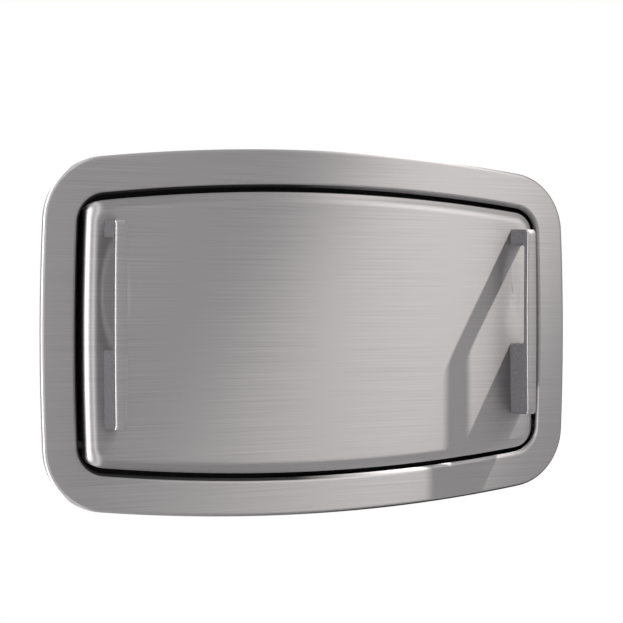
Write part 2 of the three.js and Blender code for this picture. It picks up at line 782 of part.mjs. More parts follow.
// Tray: a moulded wall with a skirt inside the skin, a rim over the skin's edge and a dish
function bedTray() {
  const skirtInset = bedInset + skinSheet + seatGap;
  const skirtInside = skirtInset + trayWall;
  const skirtEnd = bedFaceY + bedEdgeRadius + seatGap;
  const lipY = bedFaceY + skinDepth + seatGap;
  const edgeY = bedRimY - trayRimRadius;
  const slope = THREE.MathUtils.degToRad(dishWallAngle);
  const rounds = dishLipRadius + dishFootRadius;
  const straight = dishDepth - rounds * (1 - Math.cos(slope));
  const footInset = rounds * Math.sin(slope) + straight / Math.tan(slope);
  const lipCentre = bedRimY - dishLipRadius;
  const footCentre = dishFloorY + dishFootRadius;
  const shoulder = (radius, from, to) => bend(dishOutline, 0, lipCentre, radius, from, to, bendSteps);
  const foot = (radius, from, to) => bend(dishOutline, footInset, footCentre, radius, from, to, bendSteps);
  let tray = solid(loft([
    ...foot(dishFootRadius + trayWall, 3 * quarter, 3 * quarter - slope),
    ...shoulder(dishLipRadius - trayWall, quarter - slope, quarter),
    ring(openingOutline, skirtInside, bedRimY - trayWall),
    ring(openingOutline, skirtInside, skirtEnd),
    ring(openingOutline, skirtInset, skirtEnd),
    ring(openingOutline, skirtInset, lipY),
    ring(openingOutline, bedInset, lipY),
    ...bend(openingOutline, bedInset + trayRimRadius, edgeY, trayRimRadius, 2 * quarter, quarter, bendSteps),
    ...shoulder(dishLipRadius, quarter, quarter - slope),
    ...foot(dishFootRadius, 3 * quarter - slope, 3 * quarter),
  ]));
  tray = tray.subtract(solid(rodAlongX(boreFor(shaftRadius), -tubHalfWidth, tubHalfWidth, hingeY, hingeZ)));
  const slotHalf = strapWidth / 2 + strapSideRoom;
  for (const way of [-1, 1]) {
    const slotZ = strapSlotZ(way);
    const slot = box(-slotHalf, slotHalf, dishFloorY - 2 * trayWall, dishFloorY + trayWall,
      slotZ - strapSlot / 2, slotZ + strapSlot / 2);
    tray = tray.subtract(solid(slot));
  }
  return tray;
}

function strapSlotZ(way) {
  return dishRaise + way * (dishHalfHeight - strapSlotMargin);
}

// Rail behind each handle: a plate with bosses up to the skin and a bent ear on the hinge shaft
function bedRail(side) {
  const innerX = handleX - railWidth / 2;
  const [fromX, toX] = side > 0 ? [innerX, railOuterX] : [-railOuterX, -innerX];
  const earFrom = side > 0 ? railOuterX - railSheet : -railOuterX;
  const bottom = hingeZ - railEarBelow;
  const plate = roundedRectangle(
    railWidth / 2,
    (handleTop - bottom) / 2,
    railSheet,
    (fromX + toX) / 2,
    (handleTop + bottom) / 2,
  );
  let rail = solid(extrudeDeep(plate, railFrontY, railBackY));
  const ear = roundedRectangle(
    (hingeY + railEarDepth - railFrontY) / 2,
    (railEarBelow + railEarAbove) / 2,
    railSheet,
    (hingeY + railEarDepth + railFrontY) / 2,
    hingeZ + (railEarAbove - railEarBelow) / 2,
  );
  rail = rail.add(solid(extrudeAcross(ear, earFrom, earFrom + railSheet)));
  const [boreFrom, boreTo] = [earFrom - railSheet, earFrom + 2 * railSheet];
  rail = rail.subtract(solid(rodAlongX(boreFor(shaftRadius), boreFrom, boreTo, hingeY, hingeZ)));
  for (const screwZ of handleScrewHeights) {
    const bossFront = bedFaceY + skinSheet + seatGap;
    const boss = rodAlongY(railBossRadius, bossFront, railBackY, side * handleX, screwZ);
    const [from, to] = [bossFront - overcut, railBackY + overcut];
    const bore = rodAlongY(boreFor(screwRadius), from, to, side * handleX, screwZ, screwSides);
    rail = rail.add(solid(boss)).subtract(solid(bore));
  }
  return rail;
}

// Handle seen from the front: both long edges bowed, round corners
function handleFront(side, grow) {
  const inner = handleX - handleWidth / 2 - grow;
  const outer = handleX + handleWidth / 2 + grow;
  const start = inner + handleBow;
  const end = outer - handleBow;
  const middle = (handleTop + handleBottom) / 2;
  const top = handleTop + grow;
  const bottom = handleBottom - grow;
  const round = handleEndRadius;
  const shape = new THREE.Shape();
  shape.moveTo(start, bottom + round);
  shape.quadraticCurveTo(start, bottom, start + round, bottom);
  shape.lineTo(end - round, bottom);
  shape.quadraticCurveTo(end, bottom, end, bottom + round);
  shape.quadraticCurveTo(outer + handleBow, middle, end, top - round);
  shape.quadraticCurveTo(end, top, end - round, top);
  shape.lineTo(start + round, top);
  shape.quadraticCurveTo(start, top, start, top - round);
  shape.quadraticCurveTo(inner - handleBow, middle, start, bottom + round);
  const points = shape.getPoints(fineCurveSteps).slice(1);
  for (const point of points) point.x *= side;
  return side > 0 ? points : points.reverse();
}

// Handle seen from the side: a bar on two blocks, with the finger gap between them
function handleSide() {
  const front = bedFaceY - handleReach;
  const behind = bedFaceY + handleReach;
  const bar = front + handleBar;
  const gapTop = handleTop - handleTopBlock;
  const gapBottom = gapTop - handleGap;
  const round = handleFillet;
  const over = handleDraft;
  const shape = new THREE.Shape();
  shape.moveTo(behind, handleTop + over);
  shape.lineTo(front + round, handleTop);
  shape.quadraticCurveTo(front, handleTop, front, handleTop - round);
  shape.lineTo(front, handleBottom + round);
  shape.quadraticCurveTo(front, handleBottom, front + round, handleBottom);
  shape.lineTo(behind, handleBottom - over);
  shape.lineTo(behind, gapBottom);
  shape.lineTo(bar + round, gapBottom);
  shape.quadraticCurveTo(bar, gapBottom, bar, gapBottom + round);
  shape.lineTo(bar, gapTop - round);
  shape.quadraticCurveTo(bar, gapTop, bar + round, gapTop);
  shape.lineTo(behind, gapTop);
  shape.closePath();
  return shape;
}

function handle(side) {
  const seatY = bedFaceY - seatGap;
  const frontY = bedFaceY - handleReach;
  const tapered = solid(loft([
    { points: handleFront(side, handleDraft), y: seatY },
    { points: handleFront(side, 0), y: frontY },
  ]));
  const reach = 2 * handleWidth;
  const [from, to] = [side * handleX - reach, side * handleX + reach];
  const profile = solid(extrudeAcross(handleSide(), from, to, fineCurveSteps));
  let grip = tapered.intersect(profile);
  for (const screwZ of handleScrewHeights) {
    const bottom = seatY - handleScrewBite - boreGap;
    const bore = rodAlongY(boreFor(screwRadius), bottom, seatY + overcut, side * handleX, screwZ, screwSides);
    grip = grip.subtract(solid(bore));
  }
  return grip;
}

// Liner bin: open-topped box with a pull mouth low in its front and ears for the lid's pin
function binFrontY() {
  return tubBackY - seatGap - binDepth;
}

function lidPinPlace() {
  return {
    y: tubBackY - seatGap - lidKnuckleRadius,
    z: binTopZ + seatGap + lidThickness / 2,
  };
}

function lidKnuckleXs() {
  return [-lidKnuckleSpacing / 2, lidKnuckleSpacing / 2];
}

function linerBox() {
  const backY = tubBackY - seatGap;
  const frontY = binFrontY();
  const half = binWidth / 2;
  const pin = lidPinPlace();
  let bin = solid(box(-half, half, frontY, backY, binBottomZ, binTopZ));
  const inside = box(-half + binWall, half - binWall, frontY + binWall, backY - binWall,
    binBottomZ + binWall, binTopZ + overcut);
  bin = bin.subtract(solid(inside));
  const mouthZ = binBottomZ + binMouthRise + binMouthHeight / 2;
  const mouthHalf = binMouthHeight / 2;
  const mouth = roundedRectangle(binMouthWidth / 2, mouthHalf, mouthHalf - sliver, 0, mouthZ);
  const [cutFrom, cutTo] = [frontY - binWall, frontY + 2 * binWall];
  bin = bin.subtract(solid(extrudeDeep(mouth, cutFrom, cutTo)));
  const lockBore = rodAlongY(boreFor(lockRadius), cutFrom, cutTo, 0, binTopZ - lockDrop);
  bin = bin.subtract(solid(lockBore));
  const cutHalf = lidKnuckleLength / 2 + seatGap;
  const earRound = rodAlongX(lidKnuckleRadius, -half, half, pin.y, pin.z);
  const earFoot = box(-half, half, pin.y - lidKnuckleRadius, backY, binTopZ - binWall, pin.z);
  let ears = solid(earRound).add(solid(earFoot));
  for (const middle of lidKnuckleXs()) {
    const [fromX, toX] = [middle - cutHalf, middle + cutHalf];
    const cut = box(fromX, toX, frontY, backY + overcut,
      binTopZ - lidKnuckleRadius, pin.z + 2 * lidKnuckleRadius);
    ears = ears.subtract(solid(cut));
    const relief = box(fromX, toX, pin.y - lidKnuckleRadius - seatGap, backY + overcut,
      pin.z - lidKnuckleRadius - seatGap, binTopZ + overcut);
    bin = bin.subtract(solid(relief));
  }
  const pinBore = rodAlongX(boreFor(lidPinRadius), -half - overcut, half + overcut, pin.y, pin.z);
  return bin.add(ears).subtract(solid(pinBore));
}

// Lid over the bin, with two knuckles on the pin and a tab for the lock's cam
function linerLid() {
  const pin = lidPinPlace();
  const half = binWidth / 2;
  const frontY = binFrontY();
  const low = binTopZ + seatGap;
  let lid = solid(box(-half, half, frontY, pin.y - lidKnuckleRadius - seatGap, low, low + lidThickness));
  for (const middle of lidKnuckleXs()) {
    const [fromX, toX] = [middle - lidKnuckleLength / 2, middle + lidKnuckleLength / 2];
    const round = solid(rodAlongX(lidKnuckleRadius - seatGap, fromX, toX, pin.y, pin.z));
    const arm = solid(box(fromX, toX, pin.y - 2 * lidKnuckleRadius, pin.y, low, low + lidThickness));
    lid = lid.add(round).add(arm);
  }
  const tabFront = frontY + binWall + lockCamSheet + 3 * seatGap;
  const tab = box(-lidTabWidth / 2, lidTabWidth / 2, tabFront, tabFront + binWall,
    low - lidTabDrop, low + lidThickness);
  lid = lid.add(solid(tab));
  const pinBore = rodAlongX(boreFor(lidPinRadius), -half - overcut, half + overcut, pin.y, pin.z);
  return lid.subtract(solid(pinBore));
}

// Cam lock in the bin's front: barrel through the wall, flat cam behind it
function lidLock() {
  const frontY = binFrontY();
  const centreZ = binTopZ - lockDrop;
  const camFront = frontY + binWall + seatGap;
  const head = solid(rodAlongY(lockRadius + lockHeadLip, frontY - lockProud, frontY - seatGap, 0, centreZ));
  const barrel = solid(rodAlongY(lockRadius, frontY - lockProud / 2, camFront + lockCamSheet, 0, centreZ));
  const camHalf = lockCamWidth / 2;
  const cam = roundedRectangle((lockCamReach + camHalf) / 2, camHalf, camHalf - sliver,
    (lockCamReach - camHalf) / 2, centreZ);
  return head.add(barrel).add(solid(extrudeDeep(cam, camFront, camFront + lockCamSheet)));
}

// Buckle body: pocket for the tongue, well for the push button, slit for the strap
function buckleSeatY() {
  return dishFloorY + seatGap;
}

function buckleMiddleY() {
  return buckleSeatY() + buckleThickness / 2;
}

function buckleTopZ() {
  return dishRaise + (buckleHeight - tongueOutside - tongueHead) / 2;
}

function buckleBody() {
  const seat = buckleSeatY();
  const top = buckleTopZ();
  const bottom = top - buckleHeight;
  const middle = buckleMiddleY();
  const shape = roundedRectangle(buckleWidth / 2, buckleHeight / 2, buckleRound, 0, (top + bottom) / 2);
  let body = solid(extrudeDeep(shape, seat, seat + buckleThickness));
  const pocketHalf = tongueSheet / 2 + seatGap;
  const tongueHalf = buttonSize / 2 + seatGap + tongueRail + seatGap;
  const pocket = box(-tongueHalf, tongueHalf, middle - pocketHalf, middle + pocketHalf,
    top - tongueInside - seatGap, top + overcut);
  body = body.subtract(solid(pocket));
  const wellHalf = buttonSize / 2 + seatGap;
  const wellZ = buttonZ();
  const wellBottom = seat + buckleThickness + buttonProud - buttonDepth - buttonTravel - seatGap;
  const well = box(-wellHalf, wellHalf, wellBottom, seat + buckleThickness + overcut,
    wellZ - wellHalf, wellZ + wellHalf);
  body = body.subtract(solid(well));
  return body.subtract(solid(strapSlit(bottom - overcut, bottom + strapTuck + seatGap)));
}

function buttonZ() {
  return buckleTopZ() - tongueInside + tongueRail + buttonSize / 2 + 2 * seatGap;
}

function strapSlit(fromZ, toZ) {
  const half = strapWidth / 2 + seatGap;
  const slit = strapThickness / 2 + seatGap;
  return box(-half, half, buckleMiddleY() - slit, buckleMiddleY() + slit, fromZ, toZ);
}

// Tongue: a plate with a window around the button, and a head with a slit for the strap
function buckleTongue() {
  const top = buckleTopZ();
  const middle = buckleMiddleY();
  const half = buttonSize / 2 + seatGap + tongueRail;
  const window = buttonSize / 2 + seatGap;
  const headFrom = top + tongueOutside;
  const headTo = headFrom + tongueHead;
  let tongue = solid(box(-half, half, middle - tongueSheet / 2, middle + tongueSheet / 2,
    top - tongueInside, headFrom + overcut));
  const hole = box(-window, window, middle - tongueSheet, middle + tongueSheet,
    buttonZ() - window, buttonZ() + window);
  tongue = tongue.subtract(solid(hole));
  const shape = roundedRectangle(buckleWidth / 2, tongueHead / 2, buckleRound, 0, (headFrom + headTo) / 2);
  const head = extrudeDeep(shape, middle - tongueHeadThickness / 2, middle + tongueHeadThickness / 2);
  tongue = tongue.add(solid(head));
  return tongue.subtract(solid(strapSlit(headTo - strapTuck - seatGap, headTo + overcut)));
}

function buckleButton() {
  const half = buttonSize / 2;
  const front = buckleSeatY() + buckleThickness + buttonProud;
  const shape = roundedRectangle(half, half, buttonRound, 0, buttonZ());
  return extrudeDeep(shape, front - buttonDepth, front);
}

// One half of the strap: out of the buckle, down to the dish, and through its slot to the anchor
function strap(way) {
  const mouthZ = way > 0 ? buckleTopZ() + tongueOutside + tongueHead : buckleTopZ() - buckleHeight;
  const start = mouthZ - way * strapTuck;
  const lying = dishFloorY + seatGap + strapThickness / 2;
  const behind = dishFloorY - trayWall - strapDive;
  const slotZ = strapSlotZ(way);
  const leave = mouthZ + way * strapFree;
  const land = (leave + slotZ) / 2;
  const curve = new THREE.CurvePath();
  const point = (y, z) => new THREE.Vector2(y, z);
  curve.add(new THREE.LineCurve(point(buckleMiddleY(), start), point(buckleMiddleY(), leave)));
  const ease = (land - leave) / 2;
  curve.add(new THREE.CubicBezierCurve(
    point(buckleMiddleY(), leave),
    point(buckleMiddleY(), leave + ease),
    point(lying, land - ease),
    point(lying, land),
  ));
  curve.add(new THREE.LineCurve(point(lying, land), point(lying, slotZ - way * strapTurn)));
  curve.add(new THREE.QuadraticBezierCurve(
    point(lying, slotZ - way * strapTurn),
    point(lying, slotZ),
    point(lying - strapTurn, slotZ),
  ));
  curve.add(new THREE.LineCurve(point(lying - strapTurn, slotZ), point(behind, slotZ)));
  return extrudeAcross(ribbonShape(curve, fineCurveSteps), -strapWidth / 2, strapWidth / 2);
}

// Side view of a strap: its middle line thickened evenly to both sides
function ribbonShape(curve, divisions) {
  const middle = curve.getPoints(divisions);
  const sides = [[], []];
  middle.forEach((point, index) => {
    const before = middle[Math.max(index - 1, 0)];
    const after = middle[Math.min(index + 1, middle.length - 1)];
    const along = after.clone().sub(before).normalize();
    const out = new THREE.Vector2(-along.y, along.x).multiplyScalar(strapThickness / 2);
    sides[0].push(point.clone().add(out));
    sides[1].push(point.clone().sub(out));
  });
  return new THREE.Shape([...sides[0], ...sides[1].reverse()]);
}

// Anchor bar sewn into the strap's end behind the dish
function strapAnchor(way) {
  const behind = dishFloorY - trayWall - strapDive - seatGap - anchorRadius;
  const half = strapWidth / 2 + anchorOverhang;
  return rodAlongX(anchorRadius, -half, half, behind, strapSlotZ(way), screwSides);
}

add(wallUnit, 'flange_frame', flangeFrame(), brushedSteel);
add(wallUnit, 'recess_tub', recessTub(), tubPlastic);
for (const [side, label] of [[-1, 'left'], [1, 'right']]) {
  add(wallUnit, `wall_plate_${label}`, wallPlate(side), zincSteel);
  const bush = add(wallUnit, `hinge_bush_${label}`, hingeBush(), nylon, 0, hingeY, hingeZ);
  bush.rotation.z = side > 0 ? 0 : Math.PI;
  wallScrewHeights().forEach((screwZ, index) => {
    const reach = plateSheet + tubWall + wallScrewReach;
    const fixing = add(wallUnit, `wall_screw_${label}_${index + 1}`, screw(reach), zincSteel,
      side * (plateInnerX - seatGap), wallScrewY, screwZ);
    fixing.rotation.z = side * quarter;
  });
  const bumper = rodAlongY(bumperRadius, bedRimY + seatGap, bedRimY + seatGap + bumperLength, 0, 0);
  add(wallUnit, `bumper_${label}`, bumper, rubber, side * bumperX, 0, bumperZ);
}
const shaftEnd = plateOuterX - seatGap;
const { x: stopY, y: stopZ } = stopPinPlace();
add(wallUnit, 'stop_pin', rodAlongX(stopPinRadius, -shaftEnd, -leverInnerX, stopY, stopZ), groundSteel);
add(wallUnit, 'damper_cylinder', damperCylinder(), blackSteel);
const { bottom: damperBottom, top: damperTop } = damperPlaces();
add(wallUnit, 'damper_clamp_lower', damperClamp(damperBottom + 2 * clampLength), zincSteel);
add(wallUnit, 'damper_clamp_upper', damperClamp(damperTop - 2 * clampLength), zincSteel);
add(wallUnit, 'damper_rod', damperRod(), groundSteel);
add(wallUnit, 'damper_yoke', damperYoke(), zincSteel);

add(linerBin, 'liner_bin', linerBox(), trayPlastic);
add(linerBin, 'liner_lid', linerLid(), trayPlastic);
const binHalf = binWidth / 2;
const { y: pinY, z: pinZ } = lidPinPlace();
add(linerBin, 'lid_pin', rodAlongX(lidPinRadius, -binHalf, binHalf, pinY, pinZ), groundSteel);
add(linerBin, 'lid_lock', lidLock(), groundSteel);

add(bed, 'bed_skin', bedSkin(), brushedSteel);
add(bed, 'bed_tray', bedTray(), trayPlastic);
add(bed, 'hinge_shaft', rodAlongX(shaftRadius, -shaftEnd, shaftEnd, hingeY, hingeZ), groundSteel);
for (const [side, label] of [[-1, 'left'], [1, 'right']]) {
  add(bed, `hinge_lever_${label}`, hingeLever(side), zincSteel);
  add(bed, `bed_rail_${label}`, bedRail(side), zincSteel);
  add(bed, `handle_${label}`, handle(side), handlePlastic);
  handleScrewHeights.forEach((screwZ, index) => {
    const reach = railBackY + seatGap - bedFaceY + seatGap + handleScrewBite;
    add(bed, `handle_screw_${label}_${index + 1}`, screw(reach), zincSteel,
      side * handleX, railBackY + seatGap, screwZ);
  });
}
add(safetyStrap, 'buckle_body', buckleBody(), bucklePlastic);
add(safetyStrap, 'buckle_tongue', buckleTongue(), bucklePlastic);
add(safetyStrap, 'buckle_button', buckleButton(), buttonPlastic);
for (const [way, label] of [[-1, 'lower'], [1, 'upper']]) {
  add(safetyStrap, `strap_${label}`, strap(way), webbing);
  add(safetyStrap, `strap_anchor_${label}`, strapAnchor(way), groundSteel);
}

export default station;
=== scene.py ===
# %% [markdown]
# # A fold-down baby changing station, seen closed
# The station is a steel flange on the wall, a bed with a steel face that folds down out of a
# plastic tub, and two pull handles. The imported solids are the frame: they fix every size and
# every joint. This lesson dresses them with finer meshes and real finishes.

# %% Load the frame
from math import cos, sin, asin, sqrt, pi, radians, copysign

import bmesh
import bpy
from mathutils import Matrix, Vector


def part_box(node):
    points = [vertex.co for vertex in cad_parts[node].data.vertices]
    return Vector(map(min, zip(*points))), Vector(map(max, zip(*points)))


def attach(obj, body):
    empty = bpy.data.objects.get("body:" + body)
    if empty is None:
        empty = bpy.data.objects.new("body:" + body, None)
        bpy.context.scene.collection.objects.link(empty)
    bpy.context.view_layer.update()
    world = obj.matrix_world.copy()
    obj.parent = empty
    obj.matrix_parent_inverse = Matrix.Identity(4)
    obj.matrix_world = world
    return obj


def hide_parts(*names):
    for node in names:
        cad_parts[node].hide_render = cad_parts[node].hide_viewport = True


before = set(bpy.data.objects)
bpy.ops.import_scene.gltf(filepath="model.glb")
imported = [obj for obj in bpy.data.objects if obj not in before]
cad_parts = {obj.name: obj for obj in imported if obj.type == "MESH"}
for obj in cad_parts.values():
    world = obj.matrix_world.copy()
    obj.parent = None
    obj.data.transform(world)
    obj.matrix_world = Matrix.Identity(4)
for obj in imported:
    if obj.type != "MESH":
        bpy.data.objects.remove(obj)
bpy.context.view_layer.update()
scene = bpy.context.scene
scene.view_settings.view_transform = "Standard"

# %% [markdown]
# ## Finishes
# A finish is a node tree. Its pattern reads Object coordinates, so it is fixed to the metal or
# plastic and has a real size in metres. Where a pattern follows the sheet, it reads the piece's own
# UV map or attribute instead. These helpers start a material, add nodes and join them.

# %% Helpers for finishes
PAINTED_SHADE_SHARE = 0.06


def start_finish(name, colour, roughness, metallic=0.0):
    material = bpy.data.materials.new(name + "_finish")
    material["slot"] = name
    material.use_nodes = True
    tree = material.node_tree
    shader = tree.nodes["Principled BSDF"]
    shader.inputs["Base Color"].default_value = (*colour, 1)
    shader.inputs["Roughness"].default_value = roughness
    shader.inputs["Metallic"].default_value = metallic
    return material, tree, shader


def add_node(tree, kind, **settings):
    """A new node; each setting is a property of the node or the value of an input."""
    node = tree.nodes.new(kind)
    for setting, value in settings.items():
        if hasattr(node, setting):
            setattr(node, setting, value)
        else:
            node.inputs[setting.replace("_", " ").title()].default_value = value
    return node


def noise_on(tree, place, stretch, detail):
    mapping = add_node(tree, "ShaderNodeMapping", scale=stretch)
    noise = add_node(tree, "ShaderNodeTexNoise", scale=1.0, detail=detail)
    tree.links.new(place, mapping.inputs["Vector"])
    tree.links.new(mapping.outputs["Vector"], noise.inputs["Vector"])
    return noise.outputs["Fac"]


def object_noise(tree, waves, detail=2.0):
    """Noise on Object coordinates with so many waves per metre."""
    place = add_node(tree, "ShaderNodeTexCoord").outputs["Object"]
    return noise_on(tree, place, (waves, waves, waves), detail)


def colour_ramp(tree, source, stops):
    ramp = add_node(tree, "ShaderNodeValToRGB")
    points = ramp.color_ramp.elements
    while len(points) < len(stops):
        points.new(0.5)
    for point, (position, colour) in zip(points, stops):
        point.position = position
        point.color = (*colour, 1)
    tree.links.new(source, ramp.inputs["Fac"])
    return ramp.outputs["Color"]


def value_range(tree, source, low, high, from_low=0.3, from_high=0.7):
    change = add_node(tree, "ShaderNodeMapRange")
    change.inputs["From Min"].default_value = from_low
    change.inputs["From Max"].default_value = from_high
    change.inputs["To Min"].default_value = low
    change.inputs["To Max"].default_value = high
    tree.links.new(source, change.inputs["Value"])
    return change.outputs["Result"]


def bump(tree, shader, source, strength, distance):
    node = add_node(tree, "ShaderNodeBump", strength=strength, distance=distance)
    tree.links.new(source, node.inputs["Height"])
    tree.links.new(node.outputs["Normal"], shader.inputs["Normal"])


def paint_shade_and_highlight(tree, shader, colour):
    """The attribute named shade is painted shade and highlight: at 1 the metal is painted dark and dull,
    below 0 it is painted brighter.
    """
    shade = add_node(tree, "ShaderNodeAttribute", attribute_name="shade").outputs["Fac"]
    share = value_range(tree, shade, 1.0, PAINTED_SHADE_SHARE, 0.0, 1.0)
    share.node.clamp = False
    painted_colour = add_node(tree, "ShaderNodeVectorMath", operation="SCALE")
    tree.links.new(colour, painted_colour.inputs[0])
    tree.links.new(share, painted_colour.inputs["Scale"])
    tree.links.new(painted_colour.outputs["Vector"], shader.inputs["Base Color"])
    for name in ("Metallic", "Specular IOR Level"):
        clean = shader.inputs[name].default_value
        tree.links.new(value_range(tree, shade, clean, 0.0, 0.0, 1.0), shader.inputs[name])


print("finish helpers ready")

# %% [markdown]
# The steel is brushed from side to side. Each scratch is a tiny groove, so light spreads up and
# down but stays sharp from left to right. Anisotropy does that: the UV map's first direction runs
# up the sheet, and the highlight is drawn out along it. Long thin noise on the same map gives the
# scratches, so that they follow the sheet round its bends. The attribute named shade paints shade
# and highlight into the sheet: painted shade makes it dark and dull, a painted highlight bright.

# %% Brushed steel
STEEL_COLOUR, STEEL_ROUGHNESS = (0.465, 0.45, 0.455), 0.70
SCRATCH_DARK, SCRATCH_LIGHT = (0.406, 0.392, 0.400), (0.528, 0.513, 0.517)
SCRATCHES_UP, SCRATCHES_ACROSS = 1500, 4


def brushed_steel():
    material, tree, shader = start_finish("brushed_steel", STEEL_COLOUR, STEEL_ROUGHNESS, 1.0)
    shader.inputs["Anisotropic"].default_value = 1.0
    tangent = add_node(tree, "ShaderNodeTangent", direction_type="UV_MAP", uv_map="brush")
    tree.links.new(tangent.outputs["Tangent"], shader.inputs["Tangent"])
    sheet = add_node(tree, "ShaderNodeUVMap", uv_map="brush")
    scratches = noise_on(tree, sheet.outputs["UV"], (SCRATCHES_UP, SCRATCHES_ACROSS, 1), 3.0)
    stops = [(0.3, SCRATCH_DARK), (0.7, SCRATCH_LIGHT)]
    # Painted shade and highlight from the attribute named shade.
    paint_shade_and_highlight(tree, shader, colour_ramp(tree, scratches, stops))
    roughness = value_range(tree, scratches, STEEL_ROUGHNESS - 0.03, STEEL_ROUGHNESS + 0.03)
    tree.links.new(roughness, shader.inputs["Roughness"])
    bump(tree, shader, scratches, 0.06, 0.0002)
    return material


STEEL = brushed_steel()
print("finish:", STEEL.name)

# %% [markdown]
# Handles, tray, tub and buckle are moulded plastic. The handles and the tray are speckled like
# stone: small light and dark grains in a grey ground. One noise of grain size is enough for both:
# a ramp cuts its lowest values to dark grains and its highest to light ones. A finer noise gives
# the texture of the mould, and a thin coat the slight gloss of the handles.

# %% Moulded plastics
GRAIN_WAVES, SPECKLED_TEXTURE, PLAIN_TEXTURE, CLOUD_WAVES = 560, 1400, 1500, 40


def speckled_plastic(name, ground, light, dark, roughness, gloss):
    material, tree, shader = start_finish(name, ground, roughness)
    grain = object_noise(tree, GRAIN_WAVES)
    stops = [(0.30, dark), (0.42, ground), (0.58, ground), (0.70, light)]
    tree.links.new(colour_ramp(tree, grain, stops), shader.inputs["Base Color"])
    bump(tree, shader, object_noise(tree, SPECKLED_TEXTURE), 0.25, 0.0001)
    shader.inputs["Coat Weight"].default_value = gloss
    shader.inputs["Coat Roughness"].default_value = 0.18
    return material


def moulded_plastic(name, colour, roughness, texture=0.15):
    material, tree, shader = start_finish(name, colour, roughness)
    cloud = object_noise(tree, CLOUD_WAVES, 3.0)
    darker = tuple(c * 0.85 for c in colour)
    lighter = tuple(c * 1.15 for c in colour)
    stops = [(0.3, darker), (0.7, lighter)]
    tree.links.new(colour_ramp(tree, cloud, stops), shader.inputs["Base Color"])
    bump(tree, shader, object_noise(tree, PLAIN_TEXTURE), texture, 0.0001)
    return material


HANDLE = speckled_plastic(
    "handle_plastic", ground=(0.155, 0.149, 0.159), light=(0.30, 0.29, 0.30), dark=(0.06, 0.057, 0.06),
    roughness=0.5, gloss=0.15,
)
TRAY = speckled_plastic(
    "tray_plastic", ground=(0.48, 0.47, 0.44), light=(0.62, 0.61, 0.58), dark=(0.30, 0.29, 0.27),
    roughness=0.55, gloss=0.0,
)
# The tub's near-black colour is painted shade: it makes the gap round the bed read as deep shadow.
TUB = moulded_plastic("tub_plastic", (0.009, 0.009, 0.011), 0.6)
BUCKLE = moulded_plastic("buckle_plastic", (0.012, 0.012, 0.014), 0.42)
BUTTON = moulded_plastic("button_plastic", (0.39, 0.019, 0.014), 0.35, 0.05)
NYLON = moulded_plastic("nylon", (0.73, 0.70, 0.63), 0.5, 0.05)
RUBBER = moulded_plastic("rubber", (0.009, 0.009, 0.009), 0.8, 0.3)
print("finishes: speckled and plain plastics")

# %% [markdown]
# The hardware is zinc-plated sheet, ground bar and black-painted tube. Plating is cloudy, so a
# slow noise moves its brightness and roughness a little.

# %% Hardware metals
PLATING_WAVES = 60


def plated_metal(name, colour, roughness, metallic, spread=0.08):
    material, tree, shader = start_finish(name, colour, roughness, metallic)
    cloud = object_noise(tree, PLATING_WAVES, 4.0)
    darker = tuple(c * 0.86 for c in colour)
    stops = [(0.3, darker), (0.7, colour)]
    # The attribute named shade adds painted shade here, as on the shaft's ends.
    paint_shade_and_highlight(tree, shader, colour_ramp(tree, cloud, stops))
    rough = value_range(tree, cloud, roughness - spread, roughness + spread)
    tree.links.new(rough, shader.inputs["Roughness"])
    return material


ZINC = plated_metal("zinc_steel", (0.42, 0.43, 0.43), 0.42, 1.0)
GROUND = plated_metal("ground_steel", (0.42, 0.42, 0.43), 0.34, 1.0, 0.05)
BLACK = plated_metal("black_steel", (0.014, 0.014, 0.015), 0.38, 0.0, 0.06)
print("finishes: zinc, ground and black steel")

# %% [markdown]
# The safety strap is woven webbing. Its weave follows the strap, so it reads the strap's own UV
# map, which counts metres across and along. Two wave textures cross for the warp and the weft.

# %% Woven webbing
WARP, WEFT = 130, 95


def woven_webbing():
    material, tree, shader = start_finish("webbing", (0.025, 0.026, 0.032), 0.85)
    place = add_node(tree, "ShaderNodeUVMap", uv_map="weave")
    weave = add_node(tree, "ShaderNodeMath", operation="MULTIPLY")
    for threads, (direction, scale) in enumerate((("X", WARP), ("Y", WEFT))):
        wave = add_node(tree, "ShaderNodeTexWave", bands_direction=direction, scale=scale)
        tree.links.new(place.outputs["UV"], wave.inputs["Vector"])
        tree.links.new(wave.outputs["Fac"], weave.inputs[threads])
    stops = [(0.0, (0.012, 0.012, 0.016)), (0.8, (0.045, 0.047, 0.056))]
    tree.links.new(colour_ramp(tree, weave.outputs["Value"], stops), shader.inputs["Base Color"])
    shader.inputs["Sheen Weight"].default_value = 0.2
    bump(tree, shader, weave.outputs["Value"], 0.5, 0.0004)
    return material


WEBBING = woven_webbing()
print("finish:", WEBBING.name)

# %% [markdown]
# ## From bmesh to a piece
# Shapes are drawn in millimetres, as on a workshop drawing, and scaled to metres once at the end.
# Every piece keeps its object at the origin and its place in its mesh, rides on a body, stands for
# its solids, and takes the finish that it is given. Sheet parts are modelled as a bare
# surface, and a Solidify modifier gives them their wall.

# %% Make a piece
MM = 0.001


def make_piece(name, bm, body, finish, stands_for, sharp=40):
    bmesh.ops.scale(bm, vec=(MM, MM, MM), verts=bm.verts)
    mesh = bpy.data.meshes.new(name)
    bm.to_mesh(mesh)
    bm.free()
    mesh.materials.append(finish)
    mesh.shade_smooth()
    mesh.set_sharp_from_angle(angle=radians(sharp))
    piece = bpy.data.objects.new(name, mesh)
    scene.collection.objects.link(piece)
    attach(piece, body)
    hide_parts(*stands_for)
    size = [round(v / MM) for v in piece.dimensions]
    print(name, "on", body, "size in mm", size, "faces", len(mesh.polygons))
    return piece


